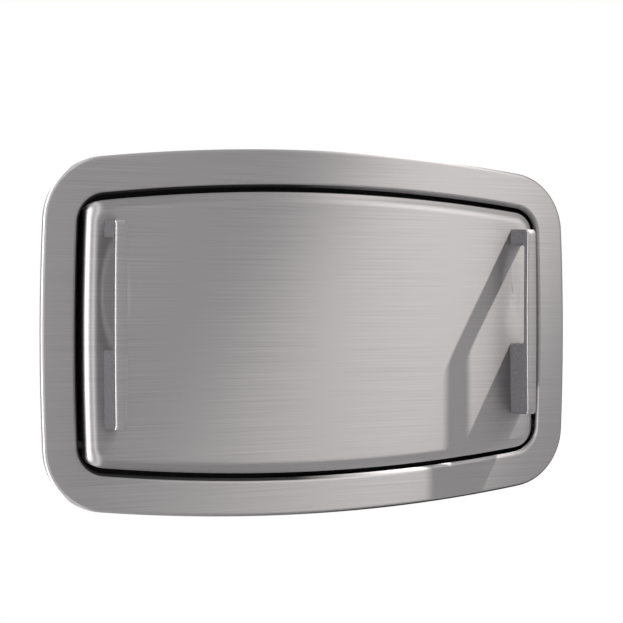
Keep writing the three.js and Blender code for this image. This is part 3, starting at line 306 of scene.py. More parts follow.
def give_wall(piece, thickness, offset=-1):
    wall = piece.modifiers.new("wall", "SOLIDIFY")
    wall.thickness = thickness * MM
    wall.offset = offset
    wall.use_even_offset = False


# %% [markdown]
# Operators hand back a mix of vertices, edges and faces, so small helpers pick out what the next
# operator needs. The bevel's defaults differ from the editor's, so they are all given in one place.

# %% Helpers for shapes


def clamp(value):
    return min(1, max(0, value))


def verts_in(made):
    return [part for part in made if isinstance(part, bmesh.types.BMVert)]


def edges_in(made):
    return [part for part in made if isinstance(part, bmesh.types.BMEdge)]


def edges_at(verts):
    """The edges at these vertices, each once and always in the same order."""
    return list(dict.fromkeys(edge for vert in verts for edge in vert.link_edges))


def width_of(edge):
    return abs(edge.verts[0].co.x - edge.verts[1].co.x)


def pull_edges(bm, edges, move):
    made = bmesh.ops.extrude_edge_only(bm, edges=edges)["geom"]
    bmesh.ops.translate(bm, verts=verts_in(made), vec=move)
    return edges_in(made)


def round_edges(bm, edges, radius, segments, clamp_overlap=False):
    bmesh.ops.bevel(bm, geom=edges, offset=radius, segments=segments, profile=0.5, affect="EDGES",
                    material=-1, clamp_overlap=clamp_overlap)


def face_front(bm):
    """Normals agree, and the face nearest the room looks into the room."""
    bmesh.ops.recalc_face_normals(bm, faces=bm.faces)
    nearest = min(bm.faces, key=lambda face: face.calc_center_median().y)
    if nearest.normal.y > 0:
        bmesh.ops.reverse_faces(bm, faces=bm.faces)


def face_largest(bm, direction):
    """Normals agree, and the largest face looks into the room (-1) or into the wall (1)."""
    bmesh.ops.recalc_face_normals(bm, faces=bm.faces)
    largest = max(bm.faces, key=lambda face: face.calc_area())
    if largest.normal.y * direction < 0:
        bmesh.ops.reverse_faces(bm, faces=bm.faces)


print("shape helpers ready")

# %% [markdown]
# ## Outlines of four bows
# Flange, bed and dish have bowed edges: four shallow arcs joined by four corner arcs. A profile
# can be swept round such an outline by spinning it about one arc's centre after another. The arcs
# meet in tangents, so the swept strip stays parallel to the outline, which scaling could not do.

# %% Arcs of an outline
TOP_STEPS, SIDE_STEPS, CORNER_STEPS = 44, 26, 14
FLANGE_WIDTH, FLANGE_HEIGHT, FLANGE_CORNER = 984, 620, 107
FLANGE_TOP_BOW, FLANGE_SIDE_BOW = 39.3, 11.8
OPENING_WIDTH, OPENING_HEIGHT, OPENING_CORNER = 876, 501, 50
OPENING_TOP_BOW, OPENING_SIDE_BOW = 30.1, 7
DISH_WIDTH, DISH_HEIGHT, DISH_CORNER, DISH_LIFT = 770, 340, 74, 28


def bow_radius(chord, bow):
    return (chord ** 2 / 4 + bow ** 2) / (2 * bow)


def outline(width, height, top_radius, side_radius, corner, lift=0):
    """Eight arcs as (centre, radius, first angle, sweep, steps), counted up from the right side."""
    top, side = Vector((0, height / 2 - top_radius)), Vector((width / 2 - side_radius, 0))
    to_top, to_side = top_radius - corner, side_radius - corner
    span = side - top
    along = (to_top ** 2 - to_side ** 2 + span.length ** 2) / (2 * span.length)
    across = sqrt(to_top ** 2 - along ** 2)
    span.normalize()
    bend_x, bend_z = top + span * along + Vector((span.y, -span.x)) * across
    side_tilt, top_tilt = asin(bend_z / to_side), asin(bend_x / to_top)
    turn = pi / 2 - side_tilt - top_tilt
    half = [
        (side.x, 0, side_radius, -side_tilt, 2 * side_tilt, SIDE_STEPS),
        (bend_x, bend_z, corner, side_tilt, turn, CORNER_STEPS),
        (0, top.y, top_radius, pi / 2 - top_tilt, 2 * top_tilt, TOP_STEPS),
        (-bend_x, bend_z, corner, pi / 2 + top_tilt, turn, CORNER_STEPS),
    ]
    arcs = []
    for sign, extra in ((1, 0), (-1, pi)):
        for x, z, radius, first, sweep_angle, steps in half:
            centre = Vector((sign * x, 0, sign * z + lift))
            arcs.append((centre, radius, first + extra, sweep_angle, steps))
    return arcs


FLANGE_TOP = bow_radius(FLANGE_WIDTH, FLANGE_TOP_BOW)
FLANGE_SIDE = bow_radius(FLANGE_HEIGHT, FLANGE_SIDE_BOW)
OPENING_TOP = bow_radius(OPENING_WIDTH, OPENING_TOP_BOW)
OPENING_SIDE = bow_radius(OPENING_HEIGHT, OPENING_SIDE_BOW)
FLANGE_LINE = outline(FLANGE_WIDTH, FLANGE_HEIGHT, FLANGE_TOP, FLANGE_SIDE, FLANGE_CORNER)
OPENING_LINE = outline(OPENING_WIDTH, OPENING_HEIGHT, OPENING_TOP, OPENING_SIDE, OPENING_CORNER)
DISH_LINE = outline(DISH_WIDTH, DISH_HEIGHT, OPENING_TOP, OPENING_SIDE, DISH_CORNER, DISH_LIFT)
print("points per outline:", 2 * (TOP_STEPS + SIDE_STEPS + 2 * CORNER_STEPS))

# %% [markdown]
# The sweep spins one profile from arc to arc and merges the seam. Brushed sheet also gets its UV
# map here: a vertex normal tells how far the sheet is bent up or aside, and the map follows it.

# %% Sweep a profile and lay the brush


def sweep(bm, profile, arcs):
    """Spins a profile of (inset, depth) points round all arcs of an outline and closes the seam."""
    centre, radius, first, _, _ = arcs[0]
    points = []
    for inset, depth in profile:
        reach = radius - inset
        place = (centre.x + reach * cos(first), depth, centre.z + reach * sin(first))
        points.append(bm.verts.new(place))
    strip = points + [bm.edges.new(pair) for pair in zip(points, points[1:])]
    for centre, _, _, angle, steps in arcs:
        strip = bmesh.ops.spin(
            bm, geom=strip, cent=centre, axis=(0, -1, 0), dvec=(0, 0, 0), angle=angle, steps=steps,
            use_merge=False, use_normal_flip=False, use_duplicate=False,
        )["geom_last"]
    bmesh.ops.remove_doubles(bm, verts=bm.verts, dist=0.02)


def bend(inset, depth, radius, start, end, steps):
    """Points of a profile along a bend, with angles in degrees."""
    angles = [radians(start + (end - start) * step / steps) for step in range(steps + 1)]
    return [(inset + radius * cos(a), depth + radius * sin(a)) for a in angles]


def rim_edges(bm, depth):
    """Open edges of a sheet that lie at one depth."""
    open_edges = [edge for edge in bm.edges if edge.is_boundary]
    return [e for e in open_edges if all(abs(v.co.y - depth) < 0.01 for v in e.verts)]


def lay_brush(bm):
    """UV map for brushed sheet: first direction up the sheet and round its bends, second across."""
    layer = bm.loops.layers.uv.new("brush")
    bm.normal_update()
    front = min(vert.co.y for vert in bm.verts)
    for face in bm.faces:
        for loop in face.loops:
            x, y, z = loop.vert.co
            out_x, _, out_z = loop.vert.normal
            upright = (out_z ** 2 + 1e-6) / (out_x ** 2 + out_z ** 2 + 2e-6)
            up = z + copysign(y - front, z) * upright
            across = x + copysign(y - front, x) * (1 - upright)
            loop[layer].uv = (up * MM, across * MM)


print("sweep ready")

# %% [markdown]
# ## Flange
# The flange is one pressed sheet: a small round edge on the wall, a flat face, and a roll into the
# opening. Both edges are swept with their bends, each with a holding loop just inside the flat, so
# that the smooth shading of the bend doesn't creep over it. A bridge then makes the flat face. The
# roll and the lower right of the outer edge get painted shade, dark and dull, for the shadow and
# dark reflections in the gap and along the edge. On the right, and most of all at the bottom, the
# roll gets a painted highlight instead.

# %% Flange sheet
FACE_Y, FLANGE_WALL, HOLD = -8, 1.5, 1.5
ROLL_RADIUS, ROLL_OUT, ROLL_END = 8, 4, 2
EDGE_RADIUS = 6
HIGHLIGHT_FROM, HIGHLIGHT_OVER = -50, 250
HIGHLIGHT_BELOW, HIGHLIGHT_ABOVE, LOWER_ROLL = 1.6, 0.6, -100
SHADED_SIDE, SHADE_SPREAD = Vector((0.9, -0.44)), 1.6
ROLL_SHADE_FROM, ROLL_SHADE_OVER = 0.4, 0.8
EDGE_SHADE_FROM, EDGE_SHADE_OVER = 0.3, 0.7


# Painted shade where the roll turns into the gap; to the right, and most at the bottom, a painted
# highlight instead.
def roll_shade_and_highlight(place):
    painted_highlight = clamp((place.x - HIGHLIGHT_FROM) / HIGHLIGHT_OVER)
    painted_highlight *= HIGHLIGHT_BELOW if place.z < LOWER_ROLL else HIGHLIGHT_ABOVE
    return clamp((place.y - FACE_Y - ROLL_SHADE_FROM) / ROLL_SHADE_OVER) * (1 - painted_highlight)


# Painted shade on the outer edge towards its lower right.
def edge_shade(place):
    away = Vector((2 * place.x / FLANGE_WIDTH, 2 * place.z / FLANGE_HEIGHT)).normalized()
    bent = clamp((place.y - FACE_Y - EDGE_SHADE_FROM) / EDGE_SHADE_OVER)
    return bent * clamp(SHADE_SPREAD * away.dot(SHADED_SIDE))


bm = bmesh.new()
shade = bm.verts.layers.float.new("shade")
roll = [(-HOLD - ROLL_OUT, FACE_Y)]
roll += bend(-ROLL_OUT, FACE_Y + ROLL_RADIUS, ROLL_RADIUS, 270, 360, 16)
sweep(bm, roll + [(ROLL_RADIUS - ROLL_OUT, ROLL_END)], OPENING_LINE)
rolled = set(bm.verts)
edge = bend(EDGE_RADIUS, FACE_Y + EDGE_RADIUS, EDGE_RADIUS, 180, 270, 8)
sweep(bm, [(0, 0)] + edge + [(EDGE_RADIUS + HOLD, FACE_Y)], FLANGE_LINE)
# Each vertex stores its painted shade and highlight.
for vert in bm.verts:
    vert[shade] = roll_shade_and_highlight(vert.co) if vert in rolled else edge_shade(vert.co)
bmesh.ops.bridge_loops(bm, edges=rim_edges(bm, FACE_Y))
face_front(bm)
lay_brush(bm)
give_wall(make_piece("flange_sheet", bm, "wall_unit", STEEL, ["flange_frame"]), FLANGE_WALL)

# %% [markdown]
# ## Bed face
# The bed's outside is a deep-drawn steel skin with a generous round edge. Behind each handle a
# shallow oval scoop makes room for the fingers. A scoop is a stack of ellipses that sink softly, as
# a press with a rubber pad would draw them, and the flat face is filled around the two rims. The
# upper edge gets painted shade towards the right, which tones down the lamp's highlight there, and
# the left scoop a little painted shade for the dark reflection of the handle's back.

# %% Scoop
SCOOP_ROWS, SCOOP_SIDES = 16, 72


def add_scoop(bm, centre, half_width, depth, half_height):
    """Ellipses drawn inwards from the rim, which sink on half a wave so that no hard rim is left."""
    ring = bmesh.ops.create_circle(bm, cap_ends=False, segments=SCOOP_SIDES, radius=1)["verts"]
    bmesh.ops.rotate(bm, verts=ring, cent=(0, 0, 0), matrix=Matrix.Rotation(pi / 2, 3, "X"))
    bmesh.ops.scale(bm, verts=ring, vec=(half_width, 1, half_height))
    bmesh.ops.translate(bm, verts=ring, vec=centre)
    rim = loop = edges_at(ring)
    to_centre = Matrix.Translation(-Vector(centre))
    for row in range(1, SCOOP_ROWS):
        share, before = 1 - row / SCOOP_ROWS, 1 - (row - 1) / SCOOP_ROWS
        made = bmesh.ops.extrude_edge_only(bm, edges=loop)["geom"]
        ring = verts_in(made)
        bmesh.ops.scale(bm, verts=ring, vec=(share / before, 1, share / before), space=to_centre)
        for vert in ring:
            vert.co.y = centre[1] + depth * (1 + cos(pi * share)) / 2
        inner = set(ring)
        loop = [edge for edge in edges_in(made) if inner.issuperset(edge.verts)]
    bmesh.ops.contextual_create(bm, geom=loop)
    return rim


print("scoop of", SCOOP_ROWS, "rows")

# %% Bed skin with scoops
BED_Y, BED_GAP, BED_ROUND, BED_HOLD = -18, 12, 22, 0.6
SKIN_END, SKIN_WALL = 30, 1.2
SCOOP_X, SCOOP_Z, SCOOP_HALF_WIDTH, SCOOP_HALF_HEIGHT = 374, 64.5, 28, 92
LEFT_SCOOP_DEPTH, RIGHT_SCOOP_DEPTH = 6, 1.5
UPPER_EDGE_SHADE, LEFT_SCOOP_SHADE = 0.55, 0.3


# Painted shade: on the upper edge towards the right, and a little in the left scoop.
def bed_shade(place):
    sunk = place.y - BED_Y - 0.3
    upper_edge = clamp(sunk / 3) * clamp((place.z - 150) / 50) * clamp((place.x + 150) / 300)
    left_part = clamp((place.x + SCOOP_X + SCOOP_HALF_WIDTH) / 8) * clamp(-place.x / 300)
    left_scoop = left_part * clamp(sunk / 1.5) * clamp((1 - place.y) / 2)
    return UPPER_EDGE_SHADE * upper_edge + LEFT_SCOOP_SHADE * left_scoop


bm = bmesh.new()
corner = bend(BED_GAP + BED_ROUND, BED_Y + BED_ROUND, BED_ROUND, 270, 180, 16)
sweep(bm, [(BED_GAP + BED_ROUND + BED_HOLD, BED_Y)] + corner + [(BED_GAP, SKIN_END)], OPENING_LINE)
flat = rim_edges(bm, BED_Y)
for side, depth in ((-1, LEFT_SCOOP_DEPTH), (1, RIGHT_SCOOP_DEPTH)):
    centre = (side * SCOOP_X, BED_Y, SCOOP_Z)
    flat += add_scoop(bm, centre, SCOOP_HALF_WIDTH, depth, SCOOP_HALF_HEIGHT)
bmesh.ops.triangle_fill(bm, edges=flat, use_beauty=True, normal=(0, -1, 0))
shade = bm.verts.layers.float.new("shade")
for vert in bm.verts:
    vert[shade] = bed_shade(vert.co)
face_front(bm)
lay_brush(bm)
skin = make_piece("bed_face", bm, "bed", STEEL, ["bed_skin"])
give_wall(skin, SKIN_WALL)

# %% [markdown]
# ## Handles
# Each handle is a speckled moulding with a thin steel cap on its front: a long bar that stands off
# the bed on a short top block and a long lower block. It could be cut from one block, but growing
# it keeps the faces clean. The side view starts as one vertex, which is extruded up the bar, across
# its thickness, and on to the seat where the blocks are. A second extrusion gives the width. Then
# the blocks flare towards the seat, the long edges bow, and bevels round the corners.

# %% Handle shape
HANDLE_X, BAR_FRONT, BAR_BACK, SEAT_Y = 380.5, -70, -58.5, -18.3
HANDLE_LOW, GAP_LOW, GAP_HIGH, HANDLE_HIGH = -149, -24, 153, 180
HANDLE_HALF, HANDLE_BOW, HANDLE_FLARE = 10.5, 1.5, 2.5
HANDLE_CORNER, HANDLE_EDGE = 8, 3.2


def levels_between(low, high, cuts):
    return [low + (high - low) * cut / cuts for cut in range(cuts)]


def rising_edges(edges, low, high):
    """Edges between two levels that don't lie flat."""
    between = [e for e in edges if all(low - 0.01 < v.co.z < high + 0.01 for v in e.verts)]
    return [e for e in between if abs(e.verts[0].co.z - e.verts[1].co.z) > 0.01]


def grow_side_view(bm):
    levels = levels_between(HANDLE_LOW, GAP_LOW, 8) + levels_between(GAP_LOW, GAP_HIGH, 12)
    levels += levels_between(GAP_HIGH, HANDLE_HIGH, 2) + [HANDLE_HIGH]
    tip = bm.verts.new((-HANDLE_HALF, BAR_FRONT, levels[0]))
    for level in levels[1:]:
        tip = bmesh.ops.extrude_vert_indiv(bm, verts=[tip])["verts"][0]
        tip.co.z = level
    back = pull_edges(bm, bm.edges[:], (0, BAR_BACK - BAR_FRONT, 0))
    for low, high in ((HANDLE_LOW, GAP_LOW), (GAP_HIGH, HANDLE_HIGH)):
        pull_edges(bm, rising_edges(back, low, high), (0, SEAT_Y - BAR_BACK, 0))
    bmesh.ops.remove_doubles(bm, verts=bm.verts, dist=0.01)


def flare_and_bow(bm):
    middle, half = (HANDLE_HIGH + HANDLE_LOW) / 2, (HANDLE_HIGH - HANDLE_LOW) / 2
    for vert in bm.verts:
        share = (vert.co.z - middle) / half
        flare = HANDLE_FLARE * (vert.co.y - BAR_FRONT) / (SEAT_Y - BAR_FRONT)
        vert.co.x += copysign(1, vert.co.x) * (flare - HANDLE_BOW * share ** 2)
        if abs(share) > 0.99:
            vert.co.z += copysign(flare, share)


def handle_shape(side):
    bm = bmesh.new()
    grow_side_view(bm)
    made = bmesh.ops.extrude_face_region(bm, geom=bm.faces[:])["geom"]
    bmesh.ops.translate(bm, verts=verts_in(made), vec=(2 * HANDLE_HALF, 0, 0))
    bmesh.ops.recalc_face_normals(bm, faces=bm.faces)
    across = [e for e in bm.edges if width_of(e) > 1 and e.calc_face_angle(0) > 1]
    corners = [e for e in across if e.verts[0].co.y < SEAT_Y - 1]
    round_edges(bm, corners, HANDLE_CORNER, 6)
    flare_and_bow(bm)
    on_one_side = [e for e in bm.edges if e.verts[0].co.x * e.verts[1].co.x > 0]
    above_seat = [e for e in on_one_side if min(v.co.y for v in e.verts) < SEAT_Y - 0.5]
    round_edges(bm, [e for e in above_seat if e.calc_face_angle(0) > 0.9], HANDLE_EDGE, 5)
    bmesh.ops.scale(bm, verts=bm.verts, vec=(side, 1, 1))
    bmesh.ops.translate(bm, verts=bm.verts, vec=(side * HANDLE_X, 0, 0))
    bmesh.ops.recalc_face_normals(bm, faces=bm.faces)
    return bm


print("handle", HANDLE_HIGH - HANDLE_LOW, "mm long")

# %% [markdown]
# The shape is made twice. One copy loses the faces that look at the room and is closed again, and
# becomes the moulding. The other keeps only those faces and becomes the cap. The right cap's flat
# gets a little painted shade, which tones down the lamp's light on it.

# %% Handle mouldings and caps
CAP_TURN, CAP_WALL = -0.25, 0.6
CAP_FLAT, CAP_SHADE = -0.98, 0.22

for side, label in ((-1, "left"), (1, "right")):
    moulding, cap = handle_shape(side), handle_shape(side)
    front = [face for face in moulding.faces if face.normal.y < CAP_TURN]
    bmesh.ops.delete(moulding, geom=front, context="FACES")
    bmesh.ops.holes_fill(moulding, edges=[e for e in moulding.edges if e.is_boundary], sides=0)
    bmesh.ops.recalc_face_normals(moulding, faces=moulding.faces)
    make_piece(f"pull_handle_{label}", moulding, "bed", HANDLE, [f"handle_{label}"], 50)
    behind = [face for face in cap.faces if face.normal.y >= CAP_TURN]
    bmesh.ops.delete(cap, geom=behind, context="FACES")
    lay_brush(cap)
    # Painted shade on the right cap's flat face.
    shade = cap.verts.layers.float.new("shade")
    for vert in cap.verts:
        vert[shade] = CAP_SHADE if vert.co.x > 0 and vert.normal.y < CAP_FLAT else 0
    give_wall(make_piece(f"handle_cap_{label}", cap, "bed", STEEL, [f"handle_{label}"], 50), CAP_WALL)

# %% [markdown]
# ## Tray
# The bed's inside is a moulded tray with a wide shallow dish. Its rim closes over the skin's edge.
# Rim and dish are two sweeps with a bridge between them, and the floor is filled round the two
# slots that the safety strap passes through.

# %% Bed tray
RIM_Y, FLOOR_Y, TRAY_WALL = 45, 12, 2.5
LIP_INSET, LIP_START, LIP_SEAT, RIM_ROUND = 13.7, 20, 30.3, 5
BROW_RADIUS, FOOT_RADIUS, FOOT_INSET, FLOOR_INSET = 8, 26, 53.93, 56
SLOT_HEIGHTS, SLOT_HALF, SLOT_ROUND, SLOT_DEPTH = (-70, 126), 23.5, 2.5, 5
SLOT_SIDES = 24


def add_slot(bm, middle_z, half_width, radius, depth):
    """A slot's outline: a circle whose halves are drawn apart."""
    made = bmesh.ops.create_circle(bm, cap_ends=False, segments=SLOT_SIDES, radius=radius)["verts"]
    bmesh.ops.rotate(bm, verts=made, cent=(0, 0, 0), matrix=Matrix.Rotation(pi / 2, 3, "X"))
    for vert in made:
        vert.co.x += copysign(half_width - radius, vert.co.x) if abs(vert.co.x) > 1e-4 else 0
    bmesh.ops.translate(bm, verts=made, vec=(0, depth, middle_z))
    return edges_at(made)


bm = bmesh.new()
rim = [(LIP_INSET, LIP_START), (LIP_INSET, LIP_SEAT), (BED_GAP, LIP_SEAT), (BED_GAP, RIM_Y - RIM_ROUND)]
rim += bend(BED_GAP + RIM_ROUND, RIM_Y - RIM_ROUND, RIM_ROUND, 180, 90, 6)
sweep(bm, rim + [(BED_GAP + RIM_ROUND + HOLD, RIM_Y)], OPENING_LINE)
dish = [(-HOLD, RIM_Y)] + bend(0, RIM_Y - BROW_RADIUS, BROW_RADIUS, 90, 52, 5)
dish += bend(FOOT_INSET, FLOOR_Y + FOOT_RADIUS, FOOT_RADIUS, 232, 270, 8)
sweep(bm, dish + [(FLOOR_INSET, FLOOR_Y)], DISH_LINE)
bmesh.ops.bridge_loops(bm, edges=rim_edges(bm, RIM_Y))
slots = []
for height in SLOT_HEIGHTS:
    slots += add_slot(bm, height, SLOT_HALF, SLOT_ROUND, FLOOR_Y)
bmesh.ops.triangle_fill(bm, edges=rim_edges(bm, FLOOR_Y) + slots, use_beauty=True, normal=(0, 1, 0))
pull_edges(bm, slots, (0, -SLOT_DEPTH, 0))
face_largest(bm, 1)
give_wall(make_piece("dish_tray", bm, "bed", TRAY, ["bed_tray"], 50), TRAY_WALL)

# %% [markdown]
# ## Tub
# The tub is a deep plastic box in the wall with a rim under the flange and three pressed ribs on
# its back. A cube without its front and back becomes the box: its long corners are bevelled, the
# back is filled round the ribs, and a wall is added outside. The rim is filled from the box's mouth
# to a narrow strip swept along the flange's outline.

# %% Recess tub
TUB_WIDTH, TUB_HEIGHT, TUB_FRONT, TUB_BACK = 906, 510, -6.2, 97
TUB_CORNER, TUB_WALL, TUB_RIM_INSET = 56, 2.9, 8
RIB_LEVELS, RIB_HALF, RIB_ROUND, RIB_RISE = (-130, 0, 130), 280, 17, 1.5


def faces_outward(edge):
    """True on the inner edge of a narrow strip round the origin."""
    middle = (edge.verts[0].co + edge.verts[1].co) / 2
    return edge.link_faces[0].calc_center_median().length > middle.length


bm = bmesh.new()
bmesh.ops.create_cube(bm, size=1)
bmesh.ops.scale(bm, verts=bm.verts, vec=(TUB_WIDTH, TUB_BACK - TUB_FRONT, TUB_HEIGHT))
bmesh.ops.translate(bm, verts=bm.verts, vec=(0, (TUB_BACK + TUB_FRONT) / 2, 0))
front_and_back = [face for face in bm.faces if abs(face.normal.y) > 0.9]
bmesh.ops.delete(bm, geom=front_and_back, context="FACES_ONLY")
long_edges = [e for e in bm.edges if abs(e.verts[0].co.y - e.verts[1].co.y) > 50]
round_edges(bm, long_edges, TUB_CORNER, 8)
mouth = rim_edges(bm, TUB_FRONT)
ribs = [add_slot(bm, level, RIB_HALF, RIB_ROUND, TUB_BACK) for level in RIB_LEVELS]
back = rim_edges(bm, TUB_BACK) + sum(ribs, [])
bmesh.ops.triangle_fill(bm, edges=back, use_beauty=True, normal=(0, -1, 0))
for rib in ribs:
    bmesh.ops.contextual_create(bm, geom=pull_edges(bm, rib, (0, -RIB_RISE, 0)))
sweep(bm, [(TUB_RIM_INSET, TUB_FRONT), (TUB_RIM_INSET + 1, TUB_FRONT)], FLANGE_LINE)
strip = [edge for edge in rim_edges(bm, TUB_FRONT) if edge not in mouth]
rim = mouth + [edge for edge in strip if faces_outward(edge)]
bmesh.ops.triangle_fill(bm, edges=rim, use_beauty=True, normal=(0, -1, 0))
face_largest(bm, -1)
give_wall(make_piece("wall_tub", bm, "wall_unit", TUB, ["recess_tub"], 35), TUB_WALL)

# %% [markdown]
# ## Turned parts
# Shaft, pins, damper, bushes, bumpers and screws are round, so each is one profile of (along,
# radius) points spun once round its axis. The places come from the boxes of the solids, and the
# ends are eased as a lathe would do it.

# %% Turn a profile
X_AXIS, Y_AXIS, Z_AXIS = Vector((1, 0, 0)), Vector((0, 1, 0)), Vector((0, 0, 1))


def turned(profile, start, axis, steps=40):
    """Spins a profile about the line through start along axis."""
    bm = bmesh.new()
    aside = Z_AXIS if abs(axis.z) < 0.5 else X_AXIS
    places = [Vector(start) + axis * along + aside * radius for along, radius in profile]
    points = [bm.verts.new(place) for place in places]
    strip = points + [bm.edges.new(pair) for pair in zip(points, points[1:])]
    bmesh.ops.spin(bm, geom=strip, cent=start, axis=axis, dvec=(0, 0, 0), angle=2 * pi, steps=steps,
                   use_merge=True, use_normal_flip=False, use_duplicate=False)
    bmesh.ops.remove_doubles(bm, verts=bm.verts, dist=0.005)
    bmesh.ops.recalc_face_normals(bm, faces=bm.faces)
    return bm


def solid_box(node):
    low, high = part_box(node)
    return low / MM, high / MM, (low + high) / 2 / MM


def mirrored_profile(ends, length):
    """A profile with the same points at both ends."""
    return ends + [(length - along, radius) for along, radius in reversed(ends)]


def bar_profile(length, radius, ease=0.8):
    return mirrored_profile([(0, 0), (0, radius - ease), (ease, radius)], length)


def bar_along_x(node, name, body, finish, ease=0.8):
    low, high, middle = solid_box(node)
    profile = bar_profile(high.x - low.x, (high.z - low.z) / 2, ease)
    make_piece(name, turned(profile, (low.x, middle.y, middle.z), X_AXIS), body, finish, [node])


print("lathe ready")

# %% [markdown]
# The shaft is ground bar, and its ends run in the bushes. They get painted shade, so that they don't
# shine through the gap beside the bed. Two rings of points on the bar mark where the painted shade begins.

# %% Shaft, pins and bumpers
SHAFT_EASE, SHADED_END = 1.2, 60
POST_RADIUS, POST_EASE, POST_END, POST_SEAT = 12, 0.8, 97.5, 0.3

low, high, middle = solid_box("hinge_shaft")
length, radius = high.x - low.x, (high.z - low.z) / 2
ends = [(0, 0), (0, radius - SHAFT_EASE), (SHAFT_EASE, radius), (SHADED_END, radius), (SHADED_END + 1, radius)]
bm = turned(mirrored_profile(ends, length), (low.x, middle.y, middle.z), X_AXIS)
# Painted shade on both ends of the shaft.
shade = bm.verts.layers.float.new("shade")
for vert in bm.verts:
    vert[shade] = clamp(abs(vert.co.x) - length / 2 + SHADED_END + 1)
make_piece("shaft_bar", bm, "bed", GROUND, ["hinge_shaft"])
bar_along_x("stop_pin", "stop_bar", "wall_unit", GROUND)
bar_along_x("lid_pin", "lid_wire", "wall_unit", GROUND, 0.5)

for label in ("left", "right"):
    low, high, middle = solid_box(f"bumper_{label}")
    radius, length = (high.z - low.z) / 2, high.y - low.y
    dome = [(0, 0), (0, radius * 0.55), (1.2, radius * 0.86), (3.2, radius), (length, radius), (length, 0)]
    bm = turned(dome, (middle.x, low.y, middle.z), Y_AXIS)
    make_piece(f"bumper_stop_{label}", bm, "wall_unit", RUBBER, [f"bumper_{label}"])
    seat = high.y + POST_SEAT
    post = [(0, 0), (0, POST_RADIUS - POST_EASE), (POST_EASE, POST_RADIUS)]
    post += [(POST_END - seat, POST_RADIUS), (POST_END - seat, 0)]
    bm = turned(post, (middle.x, seat, middle.z), Y_AXIS)
    make_piece(f"bumper_post_{label}", bm, "wall_unit", TUB, ["recess_tub"])

# %% [markdown]
# The damper is a black tube with a bright rod. The tube has a rolled lower end round the rod and a
# closed top. The rod ends in the yoke, which is made with the sheet parts further down.

# %% Damper
ROD_RADIUS, ROD_HOLE, PISTON = 3, 3.4, 14

low, high, middle = solid_box("damper_cylinder")
radius, length = (high.x - low.x) / 2, high.z - low.z
rolled_end = [(0, ROD_HOLE), (0, radius - 2), (0.6, radius - 0.6), (2, radius - 0.2), (6, radius - 0.2)]
groove = [(6.6, radius - 0.8), (8, radius - 0.8), (8.6, radius)]
closed_top = [(length - 3, radius), (length - 1, radius - 0.8), (length, radius - 2.6), (length, 0)]
bm = turned(rolled_end + groove + closed_top, (middle.x, middle.y, low.z), Z_AXIS)
make_piece("damper_tube", bm, "wall_unit", BLACK, ["damper_cylinder"])
low, high, middle = solid_box("damper_rod")
bm = turned(bar_profile(high.z - low.z - PISTON, ROD_RADIUS), (middle.x, middle.y, low.z), Z_AXIS)
make_piece("damper_bar", bm, "damper_rod", GROUND, ["damper_rod"])

# %% [markdown]
# Bushes and screws come in rows, so one loop places each set. A screw has a low domed head on its
# shank; a bush has a flange against its plate.

# %% Bushes and screws
SHANK, HEAD, HEAD_RISE, SCREW_STEPS = 3, 5.5, 4, 24
BUSH_BORE, BUSH_FLANGE, BUSH_STEP, BUSH_EASE = 7.4, 2, 3, 0.5


def screw_bm(length, tip, axis):
    neck = length - HEAD_RISE
    shank = [(0, 0), (0, SHANK - 0.8), (1.5, SHANK), (neck, SHANK)]
    head = [(neck, HEAD), (neck + 1.6, HEAD), (length - 0.9, HEAD * 0.72), (length - 0.2, HEAD * 0.4)]
    return turned(shank + head + [(length, 0)], tip, axis, SCREW_STEPS)


for label, side in (("left", -1), ("right", 1)):
    low, high, middle = solid_box(f"hinge_bush_{label}")
    inner, length, wide = (low if side > 0 else high).x, high.x - low.x, (high.z - low.z) / 2
    collar = [(0, BUSH_BORE), (0, wide - BUSH_EASE), (BUSH_EASE, wide), (BUSH_FLANGE - BUSH_EASE, wide)]
    sleeve = [(BUSH_FLANGE, wide - BUSH_EASE), (BUSH_FLANGE, wide - BUSH_STEP), (length, wide - BUSH_STEP)]
    bore = [(length, BUSH_BORE), (0, BUSH_BORE)]
    bm = turned(collar + sleeve + bore, (inner, middle.y, middle.z), side * X_AXIS)
    make_piece(f"nylon_bush_{label}", bm, "wall_unit", NYLON, [f"hinge_bush_{label}"])
    for number in (1, 2, 3):
        node = f"wall_screw_{label}_{number}"
        low, high, middle = solid_box(node)
        tip = ((high if side > 0 else low).x, middle.y, middle.z)
        bm = screw_bm(high.x - low.x, tip, -side * X_AXIS)
        make_piece(f"stud_{label}_{number}", bm, "wall_unit", ZINC, [node])
    for number in (1, 2):
        node = f"handle_screw_{label}_{number}"
        low, high, middle = solid_box(node)
        bm = screw_bm(high.y - low.y, (middle.x, low.y, middle.z), Y_AXIS)
        make_piece(f"bolt_{label}_{number}", bm, "bed", ZINC, [node])
for label in ("lower", "upper"):
    bar_along_x(f"strap_anchor_{label}", f"anchor_bar_{label}", "bed", GROUND)

# %% [markdown]
# ## Sheet parts with eased edges
# Plates, levers, rails, clamps and the liner bin already have the right shape as solids, but their
# edges are knife sharp. A copy of each solid is merged into one mesh, its flat triangles are
# dissolved into whole faces, and a small bevel breaks the edges so that they catch the light.

# %% Eased copies


def eased(node, name, body, finish, ease):
    bm = bmesh.new()
    bm.from_mesh(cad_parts[node].data)
    bmesh.ops.scale(bm, vec=(1 / MM, 1 / MM, 1 / MM), verts=bm.verts)
    bmesh.ops.remove_doubles(bm, verts=bm.verts, dist=0.005)
    bmesh.ops.dissolve_limit(bm, angle_limit=radians(2), verts=bm.verts, edges=bm.edges)
    sharp = [e for e in bm.edges if e.is_manifold and e.calc_face_angle(0) > radians(40)]
    round_edges(bm, sharp, ease, 2, clamp_overlap=True)
    make_piece(name, bm, body, finish, [node], 50)


